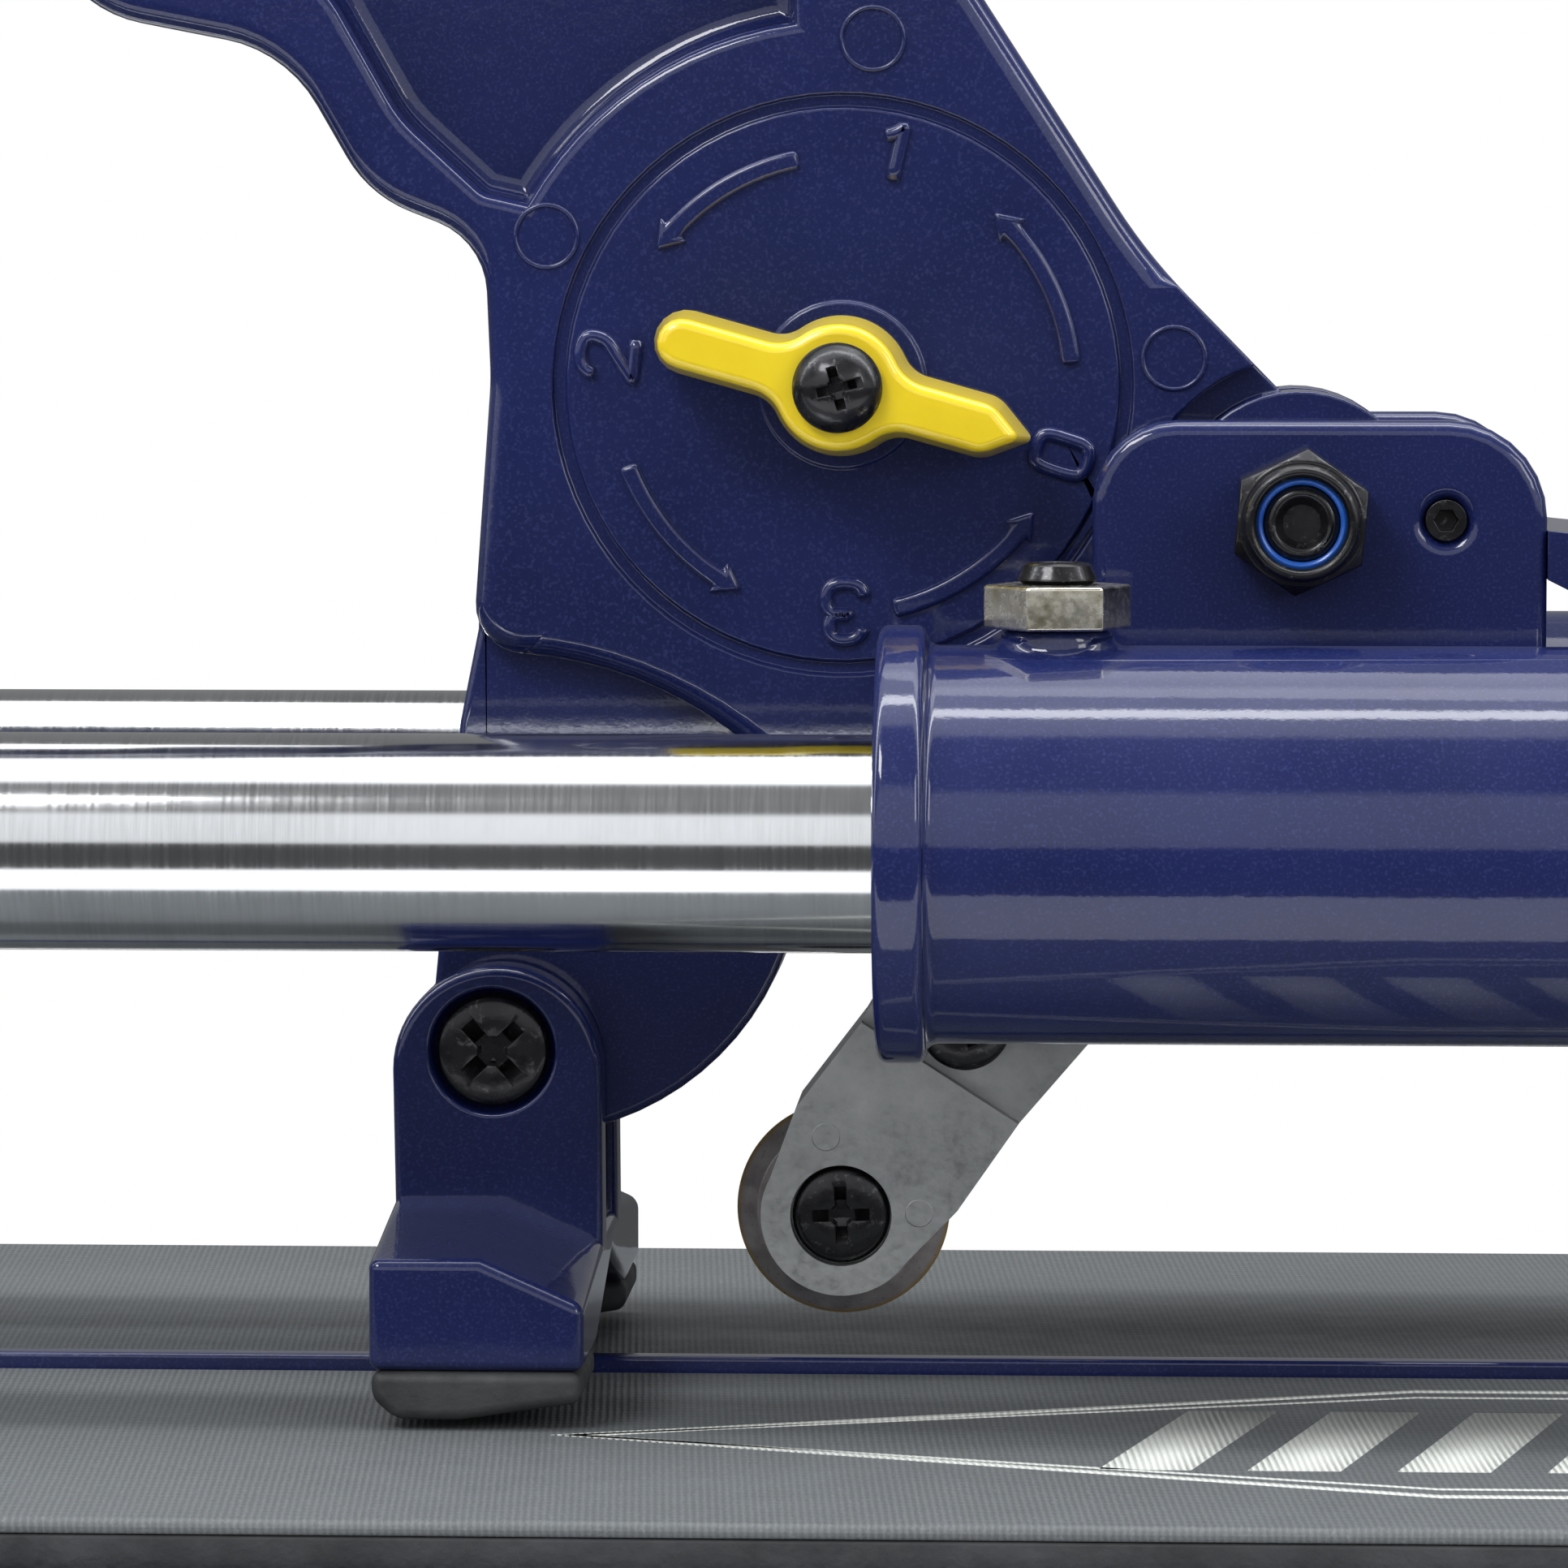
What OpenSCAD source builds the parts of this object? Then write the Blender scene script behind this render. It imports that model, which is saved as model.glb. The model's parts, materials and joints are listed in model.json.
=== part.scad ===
// Manual tile cutter: a carriage runs on two chromed rails and carries a lever handle.
// The handle holds a scoring wheel on a cam-set arm and a hinged breaking foot.
// Frame: +X along the rails, +Y to the rear, +Z up, origin at the bottom centre of the base.
// All sizes are in millimetres.

/* [Base] */
// Length of the base along the rails
base_len = 760; // [640:1:920]
// Width of the base pan
base_w = 192; // [156:1:232]
// Height of the base pan
pan_h = 30; // [24:1:40]
// Sheet thickness of the base pan
pan_wall = 2.5; // [2:0.1:4]
// Height of the rubber feet
feet_h = 9; // [6:0.5:14]
// Thickness of the foam under each pad
foam_t = 3.4; // [2.5:0.1:6]
// Thickness of the ribbed rubber cover on each pad
cover_t = 1.6; // [1:0.1:2.5]
// Thickness of the breaking ridge
ridge_t = 3; // [2:0.1:5]
// Height of the ridge above the pads
ridge_proud = 1.5; // [0.8:0.1:2.5]

/* [Rails] */
// Diameter of each rail
rail_d = 22; // [18:0.2:27]
// Height of the rail axes above the pads
rail_over_pad = 58.6; // [56:0.2:70]
// Thickness of the end bracket plates
bracket_t = 8; // [6:0.5:12]

/* [Carriage] */
// Outer diameter of each sleeve
sleeve_d = 40; // [37:0.5:40]
// Length of each sleeve
sleeve_len = 90; // [80:1:120]
// Outer diameter of the sleeve flanges
flange_d = 44; // [41:0.5:45]
// Outer diameter of the slide bushes
bush_d = 32; // [28:0.5:34]
// Length of each slide bush
bush_len = 30; // [24:1:36]
// Thickness of the bracket plates that hold the handle
plate_t = 5; // [3:0.5:6]
// Gap between the inner faces of the two bracket plates
plate_gap = 31; // [30:0.5:36]
// Height of the handle pivot above the rail axes
pivot_up = 32; // [30:0.5:36]
// Diameter of the pivot bolt
bolt_d = 8; // [6:0.5:10]

/* [Handle] */
// Thickness of the handle casting
handle_t = 24; // [20:0.2:29]
// Thickness of the lobe that carries the breaking foot
lobe_t = 14.8; // [12:0.2:16]
// Outer radius of the handle hub
hub_r = 13; // [12:0.2:14]
// Depth of the lightening pocket in each side of the grip
pocket_d = 6; // [3:0.5:8]
// Largest angle the handle lifts
lift_deg = 14; // [8:1:14]

/* [Depth dial] */
// Radius of the groove round the dial
dial_r = 29.2; // [26:0.2:30]
// Radius of the dial shaft
dial_shaft_r = 5; // [4:0.1:6]
// Radius of the knob's hub
knob_r = 7.2; // [6:0.1:8]
// Height of the knob
knob_h = 12; // [8:0.5:14]
// Smallest radius of the cam
cam_r = 8; // [7:0.1:9]
// Turn of the dial from its first to its last setting
dial_deg = 270; // [180:5:270]
// Turn of the scoring arm over the same travel
arm_deg = 5.4; // [3:0.1:5.4]

/* [Scoring arm] */
// Distance from the handle pivot to the wheel axle
arm_len = 87.1; // [80:0.1:88]
// Diameter of the scoring wheel
wheel_d = 22.4; // [20:0.2:23]
// Thickness of the scoring wheel
wheel_t = 5; // [3:0.2:5.4]
// Radius of the wheel axle screw
axle_r = 3; // [2.5:0.1:3.5]

/* [Breaking foot] */
// Width of the foot across the pads
foot_w = 84; // [60:1:90]
// Length of the foot along the rails
foot_len = 21.6; // [18:0.2:24]
// Thickness of each ear of the foot
ear_t = 6.75; // [5:0.25:8]
// Radius of the foot pivot screw
foot_pin_r = 3; // [2.5:0.1:4]

/* [Fence and guide] */
// Thickness of the fence bar
fence_t = 12; // [10:0.5:16]
// Height of the fence above the base pan
fence_h = 23; // [16:0.5:24]
// Length of the side guide's arm
guide_len = 150; // [100:1:200]

/* [Hidden] */
$fn = 96;

// Running and seating clearances
run_clear = 0.06;
side_clear = 0.35;
part_clear = 0.3;
cut_over = 1;

// Distance between the rail axes: the handle passes between the sleeve flanges
flange_gap = 0.5;
rail_gap = handle_t + flange_d + 2 * flange_gap;

// Heights of the base stack
pan_top = feet_h + pan_h;
pad_top = pan_top + foam_t + cover_t;
rail_z = pad_top + rail_over_pad;
pivot_z = rail_z + pivot_up;

// Places along the base
bracket_x = base_len / 2 - 40;
boss_len = 6;
fence_x = bracket_x - 82;
pad_x1 = fence_x - 2;
pad_x0 = -bracket_x + 12;
pad_edge = base_w / 2 - 2;
pad_side_gap = 0.6;
pan_flange = 25;
cap_t = 3;
feet_screw_r = 2.5;

// End brackets
bracket_half_w = rail_gap / 2 + rail_d / 2 + 13;
bracket_top = rail_z + rail_d / 2 + 12;
bracket_foot = 36;
bracket_rib = 6;
bolt_spread = bracket_half_w - 9;
foot_spread_x = base_len / 2 - 22;
foot_spread_y = base_w / 2 - 12;
rail_bolt_r = 5;
rail_bolt_depth = 26;
rail_bolt_corner = 17 / 2 / cos(30);

// Carriage
sleeve_r = sleeve_d / 2;
sleeve_x0 = -42.4;
sleeve_x1 = sleeve_x0 + sleeve_len;
flange_w = 5;
adjuster_x = sleeve_x0 + 17.9;
adjuster_r = 4;
adjuster_boss_r = 5.65;
adjuster_boss_h = 1.7;
adjuster_seat = rail_z + bush_d / 2;
adjuster_top = rail_z + sleeve_r + 8.3;
nut_h = 4.4;
nut_corner_r = 13 / 2 / cos(30);
bolt_corner_r = bolt_d * 13 / 8 / 2 / cos(30);
nut_collar_r = bolt_d * 0.75;
nut_ring_r = bolt_d / 2 + 1.1;
plate_x0 = -21.1;
plate_x1 = 25.1;
plate_top = rail_z + 42.1;
plate_in = plate_gap / 2;
plate_out = plate_in + plate_t;
stop_x = 14.8;
stop_r = 2.1;
bolt_head_h = 5.3;
bracket_nut_h = 6.5;
lock_nut_h = 8;
nut_washer_t = 1.6;

// Handle
hub_half = plate_in - 0.8;
slot_half = 5.5;
neck_half = 8;
handle_half = handle_t / 2;
lobe_half = lobe_t / 2;
bush_r = bolt_d / 2 + 2.5;
dial_pos = [-46.9, 13.5];
dial_boss_r = knob_r + 1.4;
dial_boss_h = 1.2;
dial_face = handle_half + dial_boss_h;
detent_r = 1.2;
detent_deep = 5;
detent_pos = dial_pos + [0, -dial_shaft_r - 1.7];

// Scoring arm, measured along the line from the pivot to the wheel axle
arm_dir = -122.8;
arm_half = 3;
arm_hub_half = 5.1;
step_l = arm_len - 18.2;
fork_screw_l = arm_len - 23.8;
fork_half = 7.5;
tongue_half = 5.1;
fork_slot = wheel_t / 2 + 0.3;
wheel_r = wheel_d / 2;
fork_end_r = 8.4;
cam_rise = -dial_pos[0] * arm_deg;
finger_top = dial_pos[1] - cam_r - 0.25;
finger_reach = -dial_pos[0] + 6;

// Breaking foot, measured from the handle pivot
foot_pivot = [-83.1, -55.4];
foot_x0 = foot_pivot[0] - foot_len / 2 + 0.7;
foot_x1 = foot_x0 + foot_len;
ear_in = lobe_half + side_clear;
ear_out = ear_in + ear_t;
ear_r = foot_len / 2 + 0.05;
relief_r = 41.2;
foot_top = -70.5;
foot_slope = 6;
foot_break = 11.2;
foot_drop = 4.6;
foot_under = -84.6;
sole_under = -89.6;
foot_half = foot_w / 2;

// Fence and guide
guide_y = -70;
guide_w = 24;
guide_wall = 5;
fence_top = pan_top + fence_h;
knob_z = pan_top + fence_h / 2 + 1.5;
guide_knob_r = 10.5;
guide_screw_r = 3;
guide_screw_x0 = fence_x + fence_t + part_clear;

// ---- shared shapes ----

// Extrude an outline drawn in X and Z between two places along Y
module slab(y0, y1) {
  translate([0, y1, 0])
    rotate([90, 0, 0])
      linear_extrude(height = y1 - y0)
        children();
}

// Put children in the handle pivot's own frame
module at_pivot() {
  translate([0, 0, pivot_z])
    children();
}

// Put an outline in the frame that runs along the scoring arm
module along_arm() {
  rotate(arm_dir)
    children();
}

// Round bar along Y at a place in X and Z
module bar_y(r, y0, y1, at = [0, 0]) {
  translate([at[0], y1, at[1]])
    rotate([90, 0, 0])
      cylinder(r = r, h = y1 - y0);
}

// Round bar along X between two places
module bar_x(r, x0, x1, y, z) {
  translate([x0, y, z])
    rotate([0, 90, 0])
      cylinder(r = r, h = x1 - x0);
}

// Hexagonal prism standing on z = 0
module hex_prism(corner_r, h, turn = 0) {
  rotate([0, 0, turn])
    cylinder(r = corner_r, h = h, $fn = 6);
}

// Cross recess cutter with its mouth on z = 0, cutting downwards
module cross_recess(size, depth) {
  for (turn = [0, 90])
    rotate([0, 0, turn])
      translate([-size / 2, -size / 8, -depth])
        cube([size, size / 4, depth + cut_over]);
}

// Screw head with a domed top, cross recess and shank; the head sits on z = 0
module cross_screw(head_r, head_h, shank_r, shank_len, recess) {
  dome_r = (head_r * head_r + head_h * head_h) / (2 * head_h);
  difference() {
    union() {
      intersection() {
        translate([0, 0, head_h - dome_r])
          sphere(r = dome_r);
        cylinder(r = head_r, h = head_h);
      }
      translate([0, 0, -shank_len])
        cylinder(r = shank_r, h = shank_len + head_h / 4);
    }
    translate([0, 0, head_h])
      cross_recess(recess, head_h * 0.8);
  }
}

// Unit vector
function unit(v) = v / norm(v);

// Points of the round that replaces corner b of the path a, b, c
function corner_arc(a, b, c, r, steps = 7) =
  let (u = unit(a - b))
  let (v = unit(c - b))
  let (half = acos(u * v) / 2)
  let (reach = r / tan(half))
  let (centre = b + unit(u + v) * r / sin(half))
  let (first = b + u * reach - centre)
  let (last = b + v * reach - centre)
  let (a0 = atan2(first[1], first[0]))
  let (raw = atan2(last[1], last[0]) - a0)
  let (sweep = raw > 180 ? raw - 360 : raw < -180 ? raw + 360 : raw)
  [for (i = [0 : steps]) centre + r * [cos(a0 + sweep * i / steps), sin(a0 + sweep * i / steps)]];

// Closed outline with rounded corners; each entry is [x, z, corner radius]
function rounded(path) =
  let (n = len(path))
  let (at = [for (p = path) [p[0], p[1]]])
  [for (i = [0 : n - 1])
    each (path[i][2] == 0 ? [at[i]]
      : corner_arc(at[(i + n - 1) % n], at[i], at[(i + 1) % n], path[i][2]))];

// ---- base ----

// C-shaped section of the base pan, drawn in Y and Z
module pan_section() {
  half = base_w / 2;
  difference() {
    translate([-half, feet_h])
      square([base_w, pan_h]);
    translate([-half + pan_wall, feet_h + pan_wall])
      square([base_w - 2 * pan_wall, pan_h - 2 * pan_wall]);
    translate([-half + pan_flange, feet_h - cut_over])
      square([base_w - 2 * pan_flange, pan_wall + 2 * cut_over]);
  }
}

// Places of the four feet
module each_foot() {
  for (sx = [-1, 1])
    for (sy = [-1, 1])
      translate([sx * foot_spread_x, sy * foot_spread_y, 0])
        children();
}

module base_pan() {
  color("midnightblue")
    difference() {
      translate([-base_len / 2 + cap_t, 0, 0])
        rotate([90, 0, 90])
          linear_extrude(height = base_len - 2 * cap_t)
            pan_section();
      each_foot()
        translate([0, 0, feet_h - cut_over])
          cylinder(r = feet_screw_r, h = pan_wall + 2 * cut_over);
      for (sx = [-1, 1])
        bracket_bolt_places(sx)
          translate([0, 0, pan_top - pan_wall - cut_over])
            cylinder(r = bolt_d / 2, h = pan_wall + 2 * cut_over);
      fence_screw_places()
        translate([0, 0, pan_top - pan_wall - cut_over])
          cylinder(r = feet_screw_r, h = pan_wall + 2 * cut_over);
    }
}

module end_cap(side) {
  x0 = side > 0 ? base_len / 2 - cap_t : -base_len / 2;
  color("dimgray")
    translate([x0, -base_w / 2, feet_h])
      cube([cap_t, base_w, pan_h]);
}

module rubber_feet() {
  color("black")
    each_foot()
      difference() {
        rotate_extrude()
          polygon([[0, 0], [10, 0], [11.5, feet_h], [0, feet_h]]);
        translate([0, 0, -cut_over])
          cylinder(r = 5, h = feet_h / 2 + cut_over);
        cylinder(r = feet_screw_r, h = feet_h + cut_over);
      }
}

module feet_screws() {
  color("silver")
    each_foot()
      union() {
        translate([0, 0, feet_h / 2 - 2.5])
          cylinder(r = 4.4, h = 2.5);
        translate([0, 0, feet_h / 2])
          cylinder(r = feet_screw_r, h = feet_h / 2 + pan_wall + 3);
      }
}

module breaking_ridge() {
  x0 = pad_x0;
  color("midnightblue")
    translate([x0, -ridge_t / 2, pan_top])
      cube([pad_x1 - x0, ridge_t, foam_t + cover_t + ridge_proud]);
}

// One layer of a pad; side is -1 at the front and 1 at the rear
module pad_layer(side, z0, t) {
  y_in = ridge_t / 2 + pad_side_gap;
  y0 = side > 0 ? y_in : -pad_edge;
  translate([pad_x0, y0, z0])
    cube([pad_x1 - pad_x0, pad_edge - y_in, t]);
}

module pad_cover(side) {
  color("dimgray")
    pad_layer(side, pan_top + foam_t, cover_t);
}

module pad_foam(side) {
  color("darkslategray")
    pad_layer(side, pan_top, foam_t);
}

// Places of the bolts that hold one end bracket
module bracket_bolt_places(side) {
  for (sy = [-1, 1])
    translate([side * (bracket_x + bracket_t + 16), sy * bolt_spread, 0])
      children();
}

// Outline of the bracket plate, drawn in Y and Z
module bracket_outline() {
  polygon(rounded([
    [-bracket_half_w, pan_top, 0],
    [bracket_half_w, pan_top, 0],
    [bracket_half_w, bracket_top, 18],
    [-bracket_half_w, bracket_top, 18]
  ]));
}

// End bracket with its inner face towards the middle of the base
module bracket(side) {
  plate_x = side > 0 ? bracket_x : -bracket_x - bracket_t;
  flange_x = side > 0 ? bracket_x : -bracket_x - bracket_foot;
  boss_x = side > 0 ? bracket_x - boss_len : -bracket_x;
  rib_h = rail_z - rail_bolt_corner - 4 - pan_top;
  color("midnightblue")
    difference() {
      union() {
        translate([plate_x, 0, 0])
          rotate([90, 0, 90])
            linear_extrude(height = bracket_t)
              bracket_outline();
        translate([flange_x, -bracket_half_w, pan_top])
          cube([bracket_foot, 2 * bracket_half_w, bracket_t]);
        for (sy = [-1, 1]) {
          bar_x(rail_d / 2 + 6, boss_x, boss_x + boss_len, sy * rail_gap / 2, rail_z);
          slab_y = sy * (bolt_spread - 17);
          slab(slab_y - bracket_rib / 2, slab_y + bracket_rib / 2)
            polygon([
              [side * (bracket_x + bracket_t - 1), pan_top + bracket_t - 1],
              [side * (bracket_x + bracket_foot), pan_top + bracket_t - 1],
              [side * (bracket_x + bracket_t - 1), pan_top + rib_h]
            ]);
        }
      }
      for (sy = [-1, 1]) {
        bar_x(rail_d / 2, boss_x - (side > 0 ? cut_over : 0), boss_x + boss_len + (side > 0 ? 0 : cut_over),
          sy * rail_gap / 2, rail_z);
        bar_x(rail_bolt_r, plate_x - cut_over, plate_x + bracket_t + cut_over,
          sy * rail_gap / 2, rail_z);
      }
      bracket_bolt_places(side)
        translate([0, 0, pan_top - cut_over])
          cylinder(r = bolt_d / 2, h = bracket_t + 2 * cut_over);
    }
}

module bracket_bolts() {
  color("silver")
    for (side = [-1, 1])
      bracket_bolt_places(side) {
        translate([0, 0, pan_top + bracket_t])
          cylinder(r = bolt_d, h = 1.6);
        translate([0, 0, pan_top + bracket_t + 1.6])
          hex_prism(bolt_corner_r, bolt_head_h);
        translate([0, 0, pan_top - pan_wall - 10])
          cylinder(r = bolt_d / 2, h = pan_wall + 10 + bracket_t + 2);
        translate([0, 0, pan_top - pan_wall - bracket_nut_h])
          hex_prism(bolt_corner_r, bracket_nut_h);
      }
}

// Chromed rail with a tapped hole in each end; side is -1 at the front and 1 at the rear
module rail(side) {
  y = side * rail_gap / 2;
  color("gainsboro")
    difference() {
      bar_x(rail_d / 2, -bracket_x, bracket_x, y, rail_z);
      bar_x(rail_bolt_r, -bracket_x - cut_over, -bracket_x + rail_bolt_depth, y, rail_z);
      bar_x(rail_bolt_r, bracket_x - rail_bolt_depth, bracket_x + cut_over, y, rail_z);
    }
}

// Bolt that clamps one rail end, pointing along +X from its head at x = 0
module rail_bolt() {
  rotate([0, 90, 0])
    union() {
      cylinder(r = rail_bolt_r, h = bracket_t + rail_bolt_depth - 4);
      translate([0, 0, -6.4])
        hex_prism(rail_bolt_corner, 6.4);
    }
}

module rail_bolts() {
  color("silver")
    for (sy = [-1, 1]) {
      translate([-bracket_x - bracket_t, sy * rail_gap / 2, rail_z])
        rail_bolt();
      translate([bracket_x + bracket_t, sy * rail_gap / 2, rail_z])
        rotate([0, 0, 180])
          rail_bolt();
    }
}

// ---- fence and side guide ----

// Places of the screws that hold the fence
module fence_screw_places() {
  for (sy = [-1, 1])
    translate([fence_x + fence_t / 2, sy * 22, 0])
      children();
}

module fence_bar() {
  color("silver")
    difference() {
      translate([fence_x, -pad_edge, pan_top])
        cube([fence_t, 2 * pad_edge, fence_h]);
      fence_screw_places() {
        translate([0, 0, pan_top - cut_over])
          cylinder(r = feet_screw_r, h = fence_h + 2 * cut_over);
        translate([0, 0, fence_top - 4])
          cylinder(r = 4.5, h = 4 + cut_over);
      }
    }
}

module fence_screws() {
  color("dimgray")
    fence_screw_places()
      difference() {
        union() {
          translate([0, 0, pan_top - pan_wall - 3])
            cylinder(r = feet_screw_r, h = fence_h + pan_wall);
          translate([0, 0, fence_top - 4])
            cylinder(r = 4.3, h = 3.6);
        }
        translate([0, 0, fence_top - 2.4])
          cylinder(r = 2.3, h = 3, $fn = 6);
      }
}

// Head that rides over the fence bar, with the guide arm cast on
module guide_head() {
  gap = part_clear;
  x0 = fence_x - gap - guide_wall;
  x1 = fence_x + fence_t + gap + guide_wall;
  leg_z = pad_top + 0.5;
  color("silver")
    difference() {
      union() {
        translate([x0, guide_y - guide_w / 2, leg_z])
          cube([x1 - x0, guide_w, fence_top + gap + guide_wall - leg_z]);
        translate([x0 - guide_len, guide_y - 6, leg_z])
          cube([guide_len + 1, 12, 11]);
      }
      translate([fence_x - gap, guide_y - guide_w / 2 - cut_over, leg_z - cut_over])
        cube([fence_t + 2 * gap, guide_w + 2 * cut_over, fence_top + gap - leg_z + cut_over]);
      bar_x(guide_screw_r, x1 - guide_wall - cut_over, x1 + cut_over, guide_y, knob_z);
    }
}

module guide_screw() {
  color("dimgray")
    bar_x(guide_screw_r - run_clear, guide_screw_x0, guide_screw_x0 + 24, guide_y, knob_z);
}

// Six-lobed clamping knob
module guide_knob() {
  x0 = guide_screw_x0 + guide_wall + 3;
  color("black")
    difference() {
      union() {
        bar_x(guide_knob_r - 1.5, x0, x0 + 12, guide_y, knob_z);
        for (i = [0 : 5])
          bar_x(3, x0, x0 + 12,
            guide_y + (guide_knob_r - 3) * cos(60 * i), knob_z + (guide_knob_r - 3) * sin(60 * i));
        bar_x(5.5, x0 - 2, x0 + 1, guide_y, knob_z);
      }
      bar_x(guide_screw_r - run_clear, x0 - 3, guide_screw_x0 + 24, guide_y, knob_z);
    }
}

// ---- carriage ----

// One sleeve with its end flanges and the welded boss for the adjuster
module sleeve(side) {
  y = side * rail_gap / 2;
  color("midnightblue")
    difference() {
      union() {
        bar_x(sleeve_r, sleeve_x0, sleeve_x1, y, rail_z);
        for (x = [sleeve_x0, sleeve_x1 - flange_w])
          bar_x(flange_d / 2, x, x + flange_w, y, rail_z);
        translate([adjuster_x, y, rail_z + sleeve_r - 2])
          cylinder(r = adjuster_boss_r, h = 2 + adjuster_boss_h);
      }
      bar_x(bush_d / 2, sleeve_x0 - cut_over, sleeve_x1 + cut_over, y, rail_z);
      translate([adjuster_x, y, rail_z])
        cylinder(r = adjuster_r, h = sleeve_r + adjuster_boss_h + cut_over);
    }
}

// Split bushes, two in each sleeve
module slide_bushes() {
  color("ivory")
    for (sy = [-1, 1])
      for (x = [sleeve_x0 + 1.5, sleeve_x1 - 1.5 - bush_len])
        difference() {
          bar_x(bush_d / 2, x, x + bush_len, sy * rail_gap / 2, rail_z);
          bar_x(rail_d / 2 + run_clear, x - cut_over, x + bush_len + cut_over, sy * rail_gap / 2, rail_z);
          translate([x - cut_over, sy * rail_gap / 2 - 0.75, rail_z - bush_d / 2 - cut_over])
            cube([bush_len + 2 * cut_over, 1.5, bush_d / 2]);
        }
}

module adjuster_screws() {
  color("dimgray")
    for (sy = [-1, 1])
      translate([adjuster_x, sy * rail_gap / 2, adjuster_seat])
        difference() {
          cylinder(r = adjuster_r, h = adjuster_top - adjuster_seat);
          translate([0, 0, adjuster_top - adjuster_seat - 4])
            cylinder(r = 2.3, h = 4 + cut_over, $fn = 6);
        }
}

module adjuster_nuts() {
  color("goldenrod")
    for (sy = [-1, 1])
      translate([adjuster_x, sy * rail_gap / 2, rail_z + sleeve_r + adjuster_boss_h])
        difference() {
          intersection() {
            hex_prism(nut_corner_r, nut_h, 7.5);
            translate([0, 0, nut_h / 2])
              sphere(r = nut_corner_r * 1.05);
          }
          translate([0, 0, -cut_over])
            cylinder(r = adjuster_r, h = nut_h + 2 * cut_over);
        }
}

// Outline of a bracket plate, drawn in X and Z
module plate_outline() {
  polygon(rounded([
    [plate_x0, rail_z + 4, 0],
    [plate_x1, rail_z + 4, 0],
    [plate_x1, plate_top, 10],
    [plate_x0, plate_top, 8.5]
  ]));
}

// Bracket plate with holes for the pivot bolt and the stop screw
module bracket_plate(side) {
  y0 = side > 0 ? plate_in : -plate_out;
  color("midnightblue")
    difference() {
      slab(y0, y0 + plate_t)
        plate_outline();
      bar_x(sleeve_r, sleeve_x0, sleeve_x1, side * rail_gap / 2, rail_z);
      bar_y(bolt_d / 2, y0 - cut_over, y0 + plate_t + cut_over, [0, pivot_z]);
      bar_y(stop_r, y0 - cut_over, y0 + plate_t + cut_over, [stop_x, pivot_z]);
    }
}

// Bent strap that ties the two plates and sleeves together
module carriage_bridge() {
  color("midnightblue")
    difference() {
      slab(-plate_out, plate_out)
        polygon(rounded([
          [plate_x1, rail_z + 31, 0],
          [plate_x1 + 5, rail_z + 30.5, 4],
          [plate_x1 + 15, rail_z + 25, 6],
          [sleeve_x1 - flange_w, rail_z + 13, 0],
          [sleeve_x1 - flange_w, rail_z + 5, 0],
          [plate_x1 + 11, rail_z + 20.5, 5],
          [plate_x1, rail_z + 26, 0]
        ]));
      for (sy = [-1, 1])
        bar_x(sleeve_r, sleeve_x0, sleeve_x1, sy * rail_gap / 2, rail_z);
    }
}

module stop_screws() {
  color("dimgray")
    for (side = [-1, 1]) {
      y0 = side > 0 ? plate_in : -plate_out;
      difference() {
        bar_y(stop_r, y0, y0 + plate_t, [stop_x, pivot_z]);
        bar_y(1.25, y0 + (side > 0 ? 2 : -cut_over), y0 + plate_t + (side > 0 ? cut_over : -2),
          [stop_x, pivot_z], $fn = 6);
      }
    }
}

// Pivot bolt with its hexagon head at the rear
module pivot_bolt() {
  y_end = -plate_out - nut_washer_t - lock_nut_h + 1;
  color("dimgray")
    union() {
      bar_y(bolt_d / 2, y_end, plate_out + 0.5, [0, pivot_z]);
      translate([0, plate_out + bolt_head_h, pivot_z])
        rotate([90, 0, 0])
          hex_prism(bolt_corner_r, bolt_head_h, 10);
    }
}

module lock_nut() {
  y0 = -plate_out - nut_washer_t - lock_nut_h;
  color("dimgray")
    difference() {
      union() {
        bar_y(bolt_d * 0.78, -plate_out - nut_washer_t, -plate_out, [0, pivot_z]);
        translate([0, -plate_out - nut_washer_t, pivot_z])
          rotate([90, 0, 0])
            hex_prism(bolt_corner_r, lock_nut_h - 2.2, 55);
        bar_y(nut_collar_r, y0, y0 + 3, [0, pivot_z]);
      }
      bar_y(bolt_d / 2, y0 - cut_over, -plate_out + cut_over, [0, pivot_z]);
      bar_y(nut_ring_r, y0 - cut_over, y0 + 1.8, [0, pivot_z]);
    }
}

module lock_nut_ring() {
  y0 = -plate_out - nut_washer_t - lock_nut_h;
  color("dodgerblue")
    difference() {
      bar_y(nut_ring_r, y0 + 0.4, y0 + 1.8, [0, pivot_z]);
      bar_y(bolt_d / 2, y0 - cut_over, y0 + 2, [0, pivot_z]);
    }
}

module thrust_washers() {
  color("silver")
    for (side = [-1, 1]) {
      y0 = side > 0 ? plate_in - 0.7 : -plate_in;
      difference() {
        bar_y(10, y0, y0 + 0.7, [0, pivot_z]);
        bar_y(bolt_d / 2, y0 - cut_over, y0 + 1.7, [0, pivot_z]);
      }
    }
}

// ---- handle ----

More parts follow.
